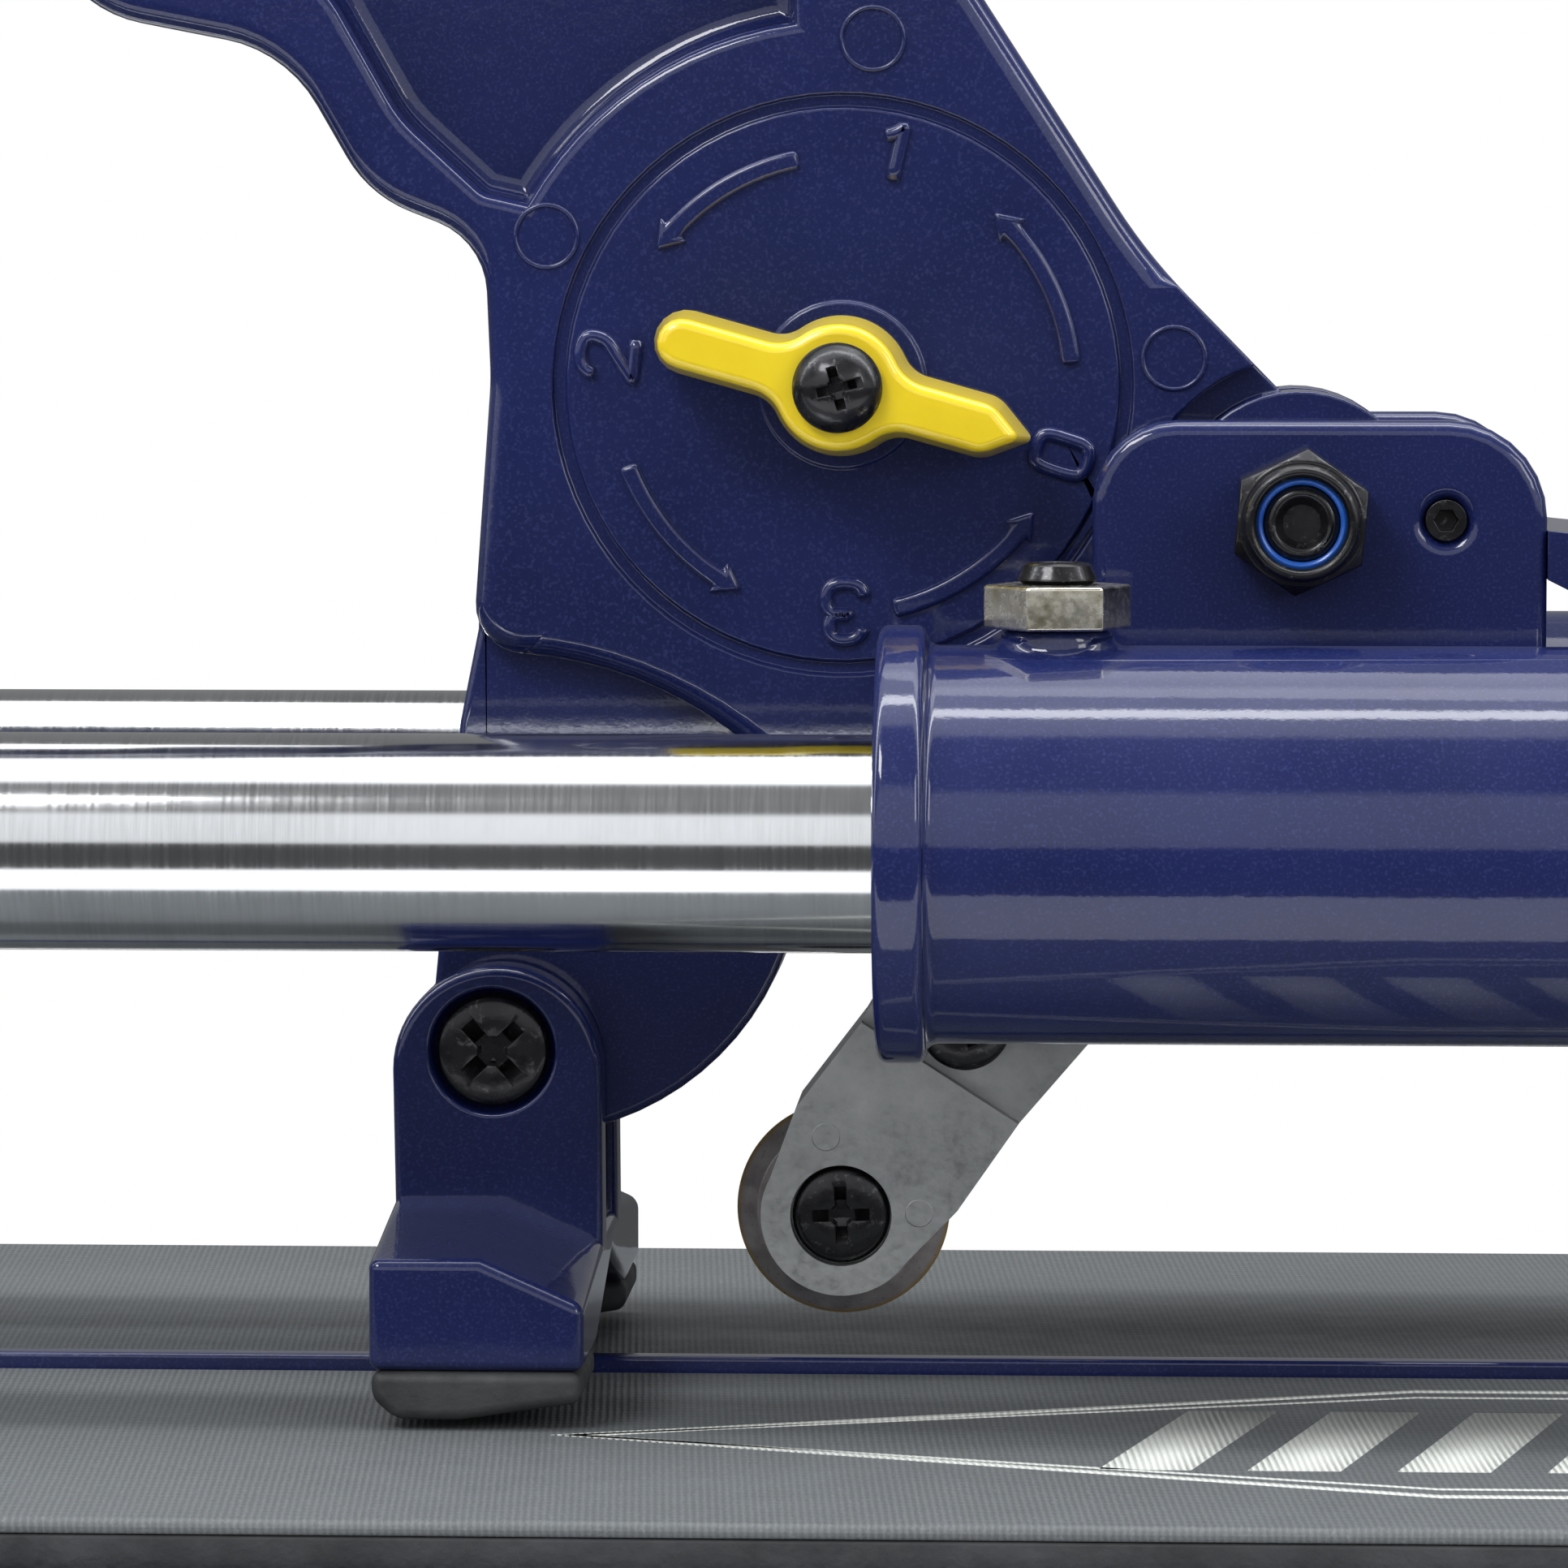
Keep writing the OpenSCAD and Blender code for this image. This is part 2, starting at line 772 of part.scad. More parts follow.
// Outline of the thick body of the handle
module body_outline() {
  difference() {
    polygon(rounded([
      [3, 0, 0],
      [-1.5, 12.5, 0],
      [-15.5, 26.8, 60],
      [-38, 61.6, 25],
      [-96, 83, 60],
      [-190, 141, 14],
      [-210, 112, 14],
      [-188, 88, 12],
      [-163.5, 84.2, 12],
      [-154.5, 70, 13],
      [-134, 66, 12],
      [-125, 51.8, 13],
      [-104.5, 47.8, 14],
      [-96, 33, 13],
      [-84, 28.3, 8],
      [-83.4, 14, 30],
      [-85.4, -14.3, 5],
      [-80, -14.3, 0],
      [-80, -42, 0],
      [-44.6, -42, 0],
      [-36, -34, 8],
      [-12, -20, 6]
    ]));
    translate(foot_pivot)
      circle(r = relief_r);
  }
}

// Outline of the thin lobe that carries the foot
module lobe_outline() {
  intersection() {
    translate([-80.5, -35.9])
      circle(r = 29.2);
    polygon([[-82.5, 12], [-85, -12], [-87, -22], [-91.3, -66], [-40, -66], [-40, 12]]);
  }
}

// Outline of the lightening pocket in the grip
module pocket_outline() {
  difference() {
    polygon(rounded([
      [-70, 30, 0],
      [-84, 33.2, 2.5],
      [-92.5, 41, 14],
      [-101, 56, 11],
      [-121, 61, 11],
      [-130, 75, 11],
      [-150.5, 79.5, 11],
      [-159.5, 93.5, 11],
      [-182, 97, 7],
      [-198, 113, 8],
      [-184, 131, 8],
      [-95, 75, 40],
      [-52, 60, 8],
      [-52, 40, 0]
    ]));
    translate(dial_pos)
      circle(r = 37.6);
  }
}

// Space inside the handle for the cam, the arm's finger and the arm
module slot_outline() {
  circle(r = hub_r + 2.2);
  translate(dial_pos)
    circle(r = cam_r + 6);
  polygon([[-62, -6], [-62, 8], [-40, 14], [0, 14], [0, -14], [-40, -12]]);
  rotate(arm_dir)
    polygon([[0, -14], [0, 15], [64, 18], [64, -14]]);
}

module handle_casting() {
  color("midnightblue")
    at_pivot()
      difference() {
        union() {
          slab(-handle_half, handle_half)
            difference() {
              body_outline();
              circle(r = hub_r + 3.2);
            }
          slab(-neck_half, neck_half)
            body_outline();
          slab(-lobe_half, lobe_half)
            lobe_outline();
          bar_y(hub_r, -hub_half, hub_half);
          bar_y(dial_boss_r, -dial_face, -handle_half + 0.5, dial_pos);
        }
        slab(-slot_half, slot_half)
          slot_outline();
        for (side = [-1, 1]) {
          y0 = side > 0 ? handle_half - pocket_d : -handle_half - cut_over;
          slab(y0, y0 + pocket_d + cut_over)
            pocket_outline();
        }
        difference() {
          bar_y(dial_r + 0.7, -handle_half - cut_over, -handle_half + 0.8, dial_pos);
          bar_y(dial_r - 0.7, -handle_half - cut_over, -handle_half + 0.8, dial_pos);
        }
        bar_y(bush_r, -hub_half - cut_over, hub_half + cut_over);
        bar_y(dial_shaft_r + run_clear, -dial_face - cut_over, handle_half + cut_over, dial_pos);
        bar_y(foot_pin_r + run_clear, -lobe_half - cut_over, lobe_half + cut_over, foot_pivot);
        bar_y(detent_r, -slot_half - detent_deep, -slot_half + cut_over, detent_pos);
      }
}

// Sprung plunger that presses on the cam and clicks at each setting
module detent_plunger() {
  color("silver")
    at_pivot()
      bar_y(detent_r - run_clear, -slot_half - detent_deep, -slot_half + 0.7, detent_pos);
}

// Steel bushes pressed into the two cheeks of the handle hub
module pivot_bush() {
  color("silver")
    at_pivot()
      for (side = [-1, 1]) {
        y0 = side > 0 ? slot_half : -hub_half;
        difference() {
          bar_y(bush_r, y0, y0 + hub_half - slot_half);
          bar_y(bolt_d / 2 + run_clear, y0 - cut_over, y0 + hub_half);
        }
      }
}

// ---- depth dial ----

// Pointer knob; the longer pointed arm shows the setting
module dial_knob() {
  base_y = -dial_face - part_clear;
  arm_h = knob_h - 4;
  color("gold")
    at_pivot()
      difference() {
        union() {
          bar_y(knob_r, base_y - knob_h, base_y, dial_pos);
          slab(base_y - arm_h, base_y - 1.5)
            translate(dial_pos)
              rotate(-15.7)
                polygon([[0, -3.2], [16.6, -3.2], [20.6, 0], [16.6, 3.2], [0, 3.2]]);
          slab(base_y - arm_h, base_y - 1.5)
            translate(dial_pos)
              rotate(164.3) {
                translate([0, -3.2])
                  square([16.6, 6.4]);
                translate([16.6, 0])
                  circle(r = 3.2);
              }
        }
        bar_y(dial_shaft_r, base_y - 6, base_y + cut_over, dial_pos);
        bar_y(2.5, base_y - knob_h - cut_over, base_y, dial_pos);
      }
}

module knob_screw() {
  top_y = -dial_face - part_clear - knob_h;
  color("dimgray")
    translate([dial_pos[0], top_y, pivot_z + dial_pos[1]])
      rotate([90, 14, 0])
        cross_screw(4.6, 2.6, 2.5, knob_h + 4, 5.2);
}

// Stepped shaft that turns the cam
module dial_shaft() {
  front_y = -dial_face - part_clear - 6;
  color("silver")
    at_pivot()
      difference() {
        bar_y(dial_shaft_r, front_y, handle_half + 2.6, dial_pos);
        bar_y(2.5, front_y - cut_over, front_y + 10, dial_pos);
      }
}

module shaft_clip() {
  color("dimgray")
    at_pivot()
      difference() {
        bar_y(dial_shaft_r + 3, handle_half + part_clear, handle_half + part_clear + 1.2, dial_pos);
        bar_y(dial_shaft_r, handle_half, handle_half + 3, dial_pos);
      }
}

// Radius of the cam at an angle turned from its lowest point
function cam_radius(turn) = cam_r + cam_rise / dial_deg * PI / 180 * turn;

// Snail cam: its radius grows over the dial's travel, then falls along a flat
module depth_cam() {
  steps = 54;
  top_r = cam_radius(dial_deg);
  color("silver")
    at_pivot()
      difference() {
        slab(-slot_half + 0.7, slot_half - 0.7)
          translate(dial_pos)
            polygon([for (i = [0 : steps])
              let (turn = dial_deg * i / steps)
              cam_radius(turn) * [cos(-90 - turn), sin(-90 - turn)]]);
        bar_y(dial_shaft_r, -slot_half, slot_half, dial_pos);
      }
}

// ---- scoring arm and wheel ----

module scoring_arm() {
  color("gray")
    at_pivot()
      difference() {
        union() {
          bar_y(hub_r - 0.6, -arm_hub_half, arm_hub_half);
          slab(-arm_half, arm_half)
            along_arm()
              polygon([[0, -9.5], [0, 11], [48, 9], [step_l - 2, 8], [step_l - 2, -8]]);
          slab(-arm_half, arm_half)
            polygon([[0, -8], [0, finger_top], [-finger_reach, finger_top],
              [-finger_reach, finger_top - 4.5]]);
        }
        bar_y(bush_r, -arm_hub_half - cut_over, arm_hub_half + cut_over);
        arm_bar(2.5, -arm_half - cut_over, arm_half + cut_over, fork_screw_l);
      }
}

// Round bar along Y at a distance along the scoring arm
module arm_bar(r, y0, y1, reach, side = 0) {
  bar_y(r, y0, y1, [reach * cos(arm_dir) - side * sin(arm_dir), reach * sin(arm_dir) + side * cos(arm_dir)]);
}

module arm_bush() {
  color("goldenrod")
    at_pivot()
      difference() {
        bar_y(bush_r, -arm_hub_half, arm_hub_half);
        bar_y(bolt_d / 2 + run_clear, -arm_hub_half - cut_over, arm_hub_half + cut_over);
      }
}

// Cast fork: a thin tongue on the arm and two thicker cheeks round the wheel
module wheel_fork() {
  color("darkgray")
    at_pivot()
      difference() {
        union() {
          slab(-tongue_half, tongue_half)
            along_arm()
              polygon([[step_l - 17, -9.8], [step_l - 17, 12.8], [step_l - 10, 11.8],
                [step_l + 1, 10.3], [step_l + 1, -9.2]]);
          slab(-fork_half, fork_half)
            along_arm() {
              polygon([[step_l, -9.2], [step_l, 10.3], [arm_len - 7, 9.9], [arm_len + 3, 7.85],
                [arm_len + 3, -7.85], [arm_len - 7, -10.1]]);
              translate([arm_len, 0])
                circle(r = fork_end_r);
            }
        }
        slab(-arm_half - 0.02, arm_half + 0.02)
          along_arm()
            polygon([[0, -16], [0, 16], [step_l - 1.7, 16], [step_l - 1.7, -16]]);
        slab(-fork_slot, fork_slot)
          along_arm()
            translate([arm_len, 0])
              circle(r = wheel_r + 1);
        arm_bar(2.5, -fork_half - cut_over, fork_half + cut_over, fork_screw_l);
        arm_bar(axle_r, -fork_half - cut_over, fork_half + cut_over, arm_len);
        arm_bar(5.3, -fork_half - cut_over, -fork_half + 2.4, arm_len);
      }
}

module fork_screw() {
  color("dimgray")
    at_pivot()
      translate([fork_screw_l * cos(arm_dir), -tongue_half, fork_screw_l * sin(arm_dir)])
        rotate([90, 20, 0])
          cross_screw(4.8, 2.2, 2.5, 2 * tongue_half + 0.6, 5);
}

module axle_screw() {
  color("dimgray")
    at_pivot()
      translate([arm_len * cos(arm_dir), -fork_half + 2.4, arm_len * sin(arm_dir)])
        rotate([90, 2, 0])
          cross_screw(5.1, 2.2, axle_r, 2 * fork_half - 2.4, 6);
}

// Carbide wheel with a ground V edge
module scoring_wheel() {
  edge = wheel_r - 2.2;
  color("dimgray")
    at_pivot()
      translate([arm_len * cos(arm_dir), 0, arm_len * sin(arm_dir)])
        rotate([90, 0, 0])
          rotate_extrude()
            polygon([
              [axle_r + run_clear, -wheel_t / 2], [edge, -wheel_t / 2], [wheel_r, -0.3],
              [wheel_r, 0.3], [edge, wheel_t / 2], [axle_r + run_clear, wheel_t / 2]
            ]);
}

// ---- breaking foot ----

// Cross-section of the foot's block with its arched underside, drawn in Y and Z from the handle pivot
module foot_section() {
  polygon([
    [-foot_half, foot_top + cut_over], [foot_half, foot_top + cut_over],
    [foot_half, foot_under], [foot_half * 0.55, foot_under],
    [0, foot_under + 6.5], [-foot_half * 0.55, foot_under], [-foot_half, foot_under]
  ]);
}

// Space above the foot's block, drawn from its upper left corner: the side over the ridge falls away
module foot_sky() {
  polygon([
    [-cut_over, 0], [foot_break, 0], [foot_len, -foot_drop], [foot_len + cut_over, -foot_drop],
    [foot_len + cut_over, foot_half], [-cut_over, foot_half]
  ]);
}

// Outline of one ear of the foot
module ear_outline() {
  centre = [foot_x1 - 0.3 - ear_r, foot_pivot[1] - 2];
  translate(centre)
    circle(r = ear_r);
  polygon([
    centre - [ear_r, 0], centre + [ear_r, 0],
    [foot_x1, foot_top - foot_drop - 1], [foot_x0, foot_top - foot_drop - 1]
  ]);
}

module breaking_foot() {
  color("midnightblue")
    at_pivot()
      difference() {
        union() {
          difference() {
            translate([foot_x0, 0, 0])
              rotate([90, 0, 90])
                linear_extrude(height = foot_len)
                  foot_section();
            translate([foot_x0, 0, foot_top])
              slab(-ear_out - cut_over, ear_out + cut_over)
                foot_sky();
            for (side = [-1, 1])
              translate([foot_x0, side * ear_out, foot_top])
                rotate([-side * foot_slope, 0, 0])
                  slab(side > 0 ? 0 : -foot_half, side > 0 ? foot_half : 0)
                    foot_sky();
          }
          for (side = [-1, 1]) {
            y0 = side > 0 ? ear_in : -ear_out;
            slab(y0, y0 + ear_t)
              ear_outline();
          }
        }
        bar_y(foot_pin_r, -ear_out - cut_over, ear_out + cut_over, foot_pivot);
        bar_y(6.5, -ear_out - cut_over, -ear_out + 3.2, foot_pivot);
      }
}

// Rubber sole under one end of the foot
module foot_sole(side) {
  y0 = side > 0 ? foot_half * 0.55 : -foot_half;
  color("black")
    at_pivot()
      slab(y0, y0 + foot_half * 0.45)
        polygon([
          [foot_x0 + 0.2, foot_under], [foot_x0 + 0.2, sole_under + 2.2], [foot_x0 + 2.6, sole_under],
          [foot_x0 + 9, sole_under], [foot_x1 - 0.2, sole_under + 1.8], [foot_x1 - 0.2, foot_under]
        ]);
}

module foot_pin_screw() {
  color("dimgray")
    at_pivot()
      translate([foot_pivot[0], -ear_out + 3.2, foot_pivot[1]])
        rotate([90, 43, 0])
          cross_screw(5.9, 2.8, foot_pin_r, 2 * ear_out - 3.2, 6.4);
}

base_pan();
end_cap(-1);  // end_cap_left
end_cap(1);  // end_cap_right
rubber_feet();
feet_screws();
breaking_ridge();
pad_cover(-1);  // pad_front_cover
pad_foam(-1);  // pad_front_foam
pad_cover(1);  // pad_rear_cover
pad_foam(1);  // pad_rear_foam
bracket(-1);  // bracket_left
bracket(1);  // bracket_right
bracket_bolts();
rail(-1);  // rail_front
rail(1);  // rail_rear
rail_bolts();
fence_bar();
fence_screws();
guide_head();
guide_screw();
guide_knob();
sleeve(-1);  // sleeve_front
sleeve(1);  // sleeve_rear
slide_bushes();
adjuster_screws();
adjuster_nuts();
bracket_plate(-1);  // plate_front
bracket_plate(1);  // plate_rear
carriage_bridge();
stop_screws();
pivot_bolt();
lock_nut();
lock_nut_ring();
thrust_washers();
handle_casting();
pivot_bush();
detent_plunger();
dial_knob();
knob_screw();
dial_shaft();
depth_cam();
shaft_clip();
scoring_arm();
arm_bush();
wheel_fork();
fork_screw();
axle_screw();
scoring_wheel();
breaking_foot();
foot_sole(-1);  // foot_sole_front
foot_sole(1);  // foot_sole_rear
foot_pin_screw();
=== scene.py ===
"""Looks of a rail tile cutter: enamel, chrome, castings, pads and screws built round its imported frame."""

import json
import logging
import math
from dataclasses import dataclass
from enum import Enum
from typing import Sequence

import bmesh
import bpy
from mathutils import Matrix, Vector

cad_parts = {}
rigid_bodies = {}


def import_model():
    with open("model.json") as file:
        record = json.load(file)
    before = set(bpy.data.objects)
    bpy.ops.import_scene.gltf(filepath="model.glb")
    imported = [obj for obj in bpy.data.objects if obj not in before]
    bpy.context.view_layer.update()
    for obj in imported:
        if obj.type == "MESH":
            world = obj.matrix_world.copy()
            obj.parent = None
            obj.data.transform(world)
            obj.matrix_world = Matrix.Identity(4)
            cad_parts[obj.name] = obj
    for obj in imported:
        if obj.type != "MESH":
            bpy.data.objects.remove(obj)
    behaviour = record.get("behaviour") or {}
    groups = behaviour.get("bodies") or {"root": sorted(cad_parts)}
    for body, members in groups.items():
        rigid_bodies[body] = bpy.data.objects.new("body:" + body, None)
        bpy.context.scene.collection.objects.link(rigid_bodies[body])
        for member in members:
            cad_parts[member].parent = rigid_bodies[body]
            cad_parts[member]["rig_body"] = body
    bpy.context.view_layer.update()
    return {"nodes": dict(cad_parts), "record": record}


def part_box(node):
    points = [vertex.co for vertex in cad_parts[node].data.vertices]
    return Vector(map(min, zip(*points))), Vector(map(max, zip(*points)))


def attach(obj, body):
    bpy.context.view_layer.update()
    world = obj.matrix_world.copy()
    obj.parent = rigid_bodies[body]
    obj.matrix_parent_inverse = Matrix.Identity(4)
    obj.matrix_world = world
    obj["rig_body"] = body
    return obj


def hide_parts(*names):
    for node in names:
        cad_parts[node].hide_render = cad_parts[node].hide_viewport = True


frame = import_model()

Socket, Shape, Piece = bpy.types.NodeSocket, bmesh.types.BMesh, bpy.types.Object

MM = 0.001
RIGHT, BACK, UP = Vector((1, 0, 0)), Vector((0, 1, 0)), Vector((0, 0, 1))
TO_FRONT = Matrix.Rotation(math.radians(90), 4, "X")
SHARP = 32.0
MIX_LOW, MIX_HIGH, MIX_OUT = 6, 7, 2
SLOT_OF = {part["node"]: part["material_slot"] for part in frame["record"]["subparts"]}

logging.basicConfig(level=logging.INFO, format="%(message)s")
log = logging.getLogger("tile_cutter")


class Run(Enum):
    """Direction in which a piece was ground, drawn or brushed."""

    NONE = (1.0, 1.0, 1.0)
    ROUND_X = (2.5, 0.12, 0.12)
    ALONG_Z = (1.0, 1.0, 0.05)


# ---- finishes ----


class Recipe:
    """Node graph of one finish, with short calls for the patterns that it needs."""

    def __init__(self, name: str, **constants: object) -> None:
        """Starts a Principled material.

        Args:
            name: Name of the material.
            **constants: Shader sockets and their constant values, with underscores for spaces.
        """
        self.material = bpy.data.materials.new(name)
        self.material.use_nodes = True
        self.tree = self.material.node_tree
        self.shader = self.tree.nodes["Principled BSDF"]
        self.place = self.tree.nodes.new("ShaderNodeTexCoord").outputs["Object"]
        for key, value in constants.items():
            socket = self.shader.inputs[key.replace("_", " ")]
            socket.default_value = (*value, 1.0) if socket.type == "RGBA" else value

    def node(self, kind: str, **settings: object) -> bpy.types.Node:
        """Adds a node and sets its options.

        Args:
            kind: Node type without its ShaderNode prefix.
            **settings: Attributes of the node.

        Returns:
            The new node.
        """
        made = self.tree.nodes.new("ShaderNode" + kind)
        for key, value in settings.items():
            setattr(made, key, value)
        return made

    def join(self, source: Socket, target: Socket) -> None:
        """Links one socket to another."""
        self.tree.links.new(source, target)

    def mapped(self, scale: Sequence[float], turn: Sequence[float] = (0.0, 0.0, 0.0)) -> Socket:
        """Returns object coordinates turned (degrees) and then stretched."""
        turned = self.node("Mapping")
        self.join(self.place, turned.inputs["Vector"])
        turned.inputs["Rotation"].default_value = [math.radians(a) for a in turn]
        stretched = self.node("Mapping")
        self.join(turned.outputs["Vector"], stretched.inputs["Vector"])
        stretched.inputs["Scale"].default_value = scale
        return stretched.outputs["Vector"]

    def noise(self, grain: float, detail: float = 4.0, stretch: Sequence[float] = (1.0, 1.0, 1.0),
              rough: float = 0.55) -> Socket:
        """Returns noise with grains about `grain` metres wide."""
        made = self.node("TexNoise")
        self.join(self.mapped(stretch), made.inputs["Vector"])
        made.inputs["Scale"].default_value = 0.5 / grain
        made.inputs["Detail"].default_value = detail
        made.inputs["Roughness"].default_value = rough
        return made.outputs["Fac"]

    def stripes(self, pitch: float, turn: float, wobble: float = 0.0) -> Socket:
        """Returns ribs `pitch` metres apart that run `turn` degrees from the X axis, seen from above."""
        made = self.node("TexWave", wave_profile="SIN", bands_direction="X")
        self.join(self.mapped((1.0, 1.0, 1.0), (0.0, 0.0, turn)), made.inputs["Vector"])
        made.inputs["Scale"].default_value = math.pi / (10.0 * pitch)
        made.inputs["Distortion"].default_value = wobble
        made.inputs["Detail Scale"].default_value = 3.0
        return made.outputs["Fac"]

    def spread(self, source: Socket, low: float, high: float, start: float = 0.0,
               end: float = 1.0) -> Socket:
        """Returns the source mapped from start..end to low..high."""
        made = self.node("MapRange")
        self.join(source, made.inputs["Value"])
        for key, value in (("From Min", start), ("From Max", end), ("To Min", low), ("To Max", high)):
            made.inputs[key].default_value = value
        return made.outputs["Result"]

    def cloud(self, grain: float, detail: float, low: float, high: float, start: float = 0.3, end: float = 0.7,
              rough: float = 0.55) -> Socket:
        """Returns noise mapped from its levels start..end to low..high."""
        return self.spread(self.noise(grain, detail, rough=rough), low, high, start, end)

    def blend(self, factor: Socket, low: object, high: object) -> Socket:
        """Returns a colour between low and high, each a colour or a socket."""
        made = self.node("Mix", data_type="RGBA")
        self.join(factor, made.inputs[0])
        for socket, value in ((made.inputs[MIX_LOW], low), (made.inputs[MIX_HIGH], high)):
            if isinstance(value, Socket):
                self.join(value, socket)
            else:
                socket.default_value = (*value, 1.0)
        return made.outputs[MIX_OUT]

    def colour(self, source: Socket) -> None:
        """Sends a colour to the base colour."""
        self.join(source, self.shader.inputs["Base Color"])

    def roughness(self, source: Socket) -> None:
        """Sends a value to the roughness."""
        self.join(source, self.shader.inputs["Roughness"])

    def relief(self, *layers: tuple[Socket, float]) -> None:
        """Stacks bumps on the surface.

        Args:
            *layers: Pairs of a height pattern and its depth in metres.
        """
        under = None
        for source, depth in layers:
            bump = self.node("Bump")
            bump.inputs["Distance"].default_value = depth
            self.join(source, bump.inputs["Height"])
            if under is not None:
                self.join(under, bump.inputs["Normal"])
            under = bump.outputs["Normal"]
        self.join(under, self.shader.inputs["Normal"])
        self.join(under, self.shader.inputs["Coat Normal"])


@dataclass(frozen=True)
class Enamel:
    """Glossy stoved enamel with a slight orange peel, and fine lighter specks that are painted sparkle of the gloss."""

    deep: tuple = (0.0064, 0.0114, 0.065)
    light: tuple = (0.0096, 0.0162, 0.092)
    # speck: the lighter blue of the painted sparkle specks
    speck: tuple = (0.032, 0.042, 0.15)
    peel: float = 0.0016

    def make(self) -> bpy.types.Material:
        """Returns the material."""
        mix = Recipe("blue enamel", Coat_Weight=1.0, Coat_Roughness=0.06, Coat_IOR=1.5, Specular_IOR_Level=0.1)
        tone = mix.blend(mix.cloud(0.012, 5.0, 0.0, 1.0), self.deep, self.light)
        # Painted sparkle: fine random specks of lighter blue stand in for glints off the glossy coat.
        painted_sparkle = mix.cloud(0.00016, 2.0, 0.0, 0.7, 0.52, 0.80, 0.4)
        mix.colour(mix.blend(painted_sparkle, tone, self.speck))
        mix.roughness(mix.cloud(0.004, 4.0, 0.30, 0.50, 0.25, 0.75))
        mix.relief((mix.noise(self.peel, 2.0), 0.000016), (mix.noise(0.00018, 2.0), 0.000004))
        return mix.material


@dataclass(frozen=True)
class Metal:
    """Bare or plated metal with grain, tone changes and dull spots."""

    name: str
    dark: tuple
    bright: tuple
    polish: tuple = (0.2, 0.35)
    grain: float = 0.0004
    depth: float = 0.000004
    run: Run = Run.NONE
    patch: float = 0.006

    def make(self) -> bpy.types.Material:
        """Returns the material."""
        mix = Recipe(self.name, Metallic=1.0)
        blotch = mix.cloud(self.patch, 6.0, 0.0, 1.0, rough=0.65)
        lines = mix.noise(self.grain, 4.0, self.run.value)
        mix.colour(mix.blend(mix.spread(lines, 0.0, 0.6, 0.35, 0.65), mix.blend(blotch, self.dark, self.bright),
                             self.bright))
        mix.roughness(mix.spread(lines, *self.polish, 0.3, 0.7))
        mix.relief((lines, self.depth), (mix.noise(self.patch / 2, 3.0), self.depth * 2))
        return mix.material


@dataclass(frozen=True)
class Moulding:
    """Moulded plastic or rubber: smooth, or with a fine texture."""

    name: str
    tone: tuple
    worn: tuple
    polish: tuple = (0.35, 0.5)
    grain: float = 0.0006
    depth: float = 0.00001
    gloss: float = 0.0
    glow: float = 0.0

    def make(self) -> bpy.types.Material:
        """Returns the material."""
        mix = Recipe(self.name, Coat_Weight=self.gloss, Coat_Roughness=0.08, Subsurface_Weight=self.glow,
                     Subsurface_Radius=(0.002, 0.0012, 0.0004), Subsurface_Scale=1.0)
        mix.colour(mix.blend(mix.cloud(0.005, 6.0, 0.0, 1.0, 0.35, rough=0.6), self.tone, self.worn))
        mix.roughness(mix.cloud(self.grain * 4, 4.0, *self.polish))
        mix.relief((mix.noise(self.grain, 3.0), self.depth))
        return mix.material


@dataclass(frozen=True)
class Oxide:
    """Black oxide over steel: almost black, with lighter worn flecks."""

    def make(self) -> bpy.types.Material:
        """Returns the material."""
        mix = Recipe("black oxide", Metallic=0.75, Coat_Weight=0.35, Coat_Roughness=0.12)
        fleck = mix.cloud(0.0006, 5.0, 0.0, 1.0, 0.58, 0.75, 0.7)
        mix.colour(mix.blend(fleck, (0.020, 0.020, 0.023), (0.17, 0.17, 0.18)))
        mix.roughness(mix.cloud(0.0009, 4.0, 0.2, 0.42))
        mix.relief((mix.noise(0.0005, 4.0), 0.00002))
        return mix.material


@dataclass(frozen=True)
class Carbide:
    """Ground carbide whose thin rim is tinted gold by heat."""

    face: tuple = (0.24, 0.22, 0.215)
    ring: tuple = (0.36, 0.335, 0.33)
    rim: tuple = (0.34, 0.23, 0.07)

    def make(self) -> bpy.types.Material:
        """Returns the material."""
        mix = Recipe("ground carbide", Metallic=0.25)
        low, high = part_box("scoring_wheel")
        centre = mix.node("Mapping")
        mix.join(mix.place, centre.inputs["Vector"])
        centre.inputs["Location"].default_value = -(low + high) / 2
        centre.inputs["Scale"].default_value = (1.0, 0.0, 1.0)
        reach = mix.node("VectorMath", operation="LENGTH")
        mix.join(centre.outputs["Vector"], reach.inputs[0])
        radius = (high.x - low.x) / 2
        tint = mix.spread(reach.outputs["Value"], 0.0, 1.0, radius - 0.55 * MM, radius - 0.1 * MM)
        tone = mix.blend(mix.cloud(0.0012, 5.0, 0.0, 1.0, 0.35, 0.65), self.face, self.ring)
        mix.colour(mix.blend(tint, tone, self.rim))
        mix.roughness(mix.cloud(0.0004, 4.0, 0.25, 0.45))
        mix.relief((mix.noise(0.0003, 4.0), 0.00001))
        return mix.material


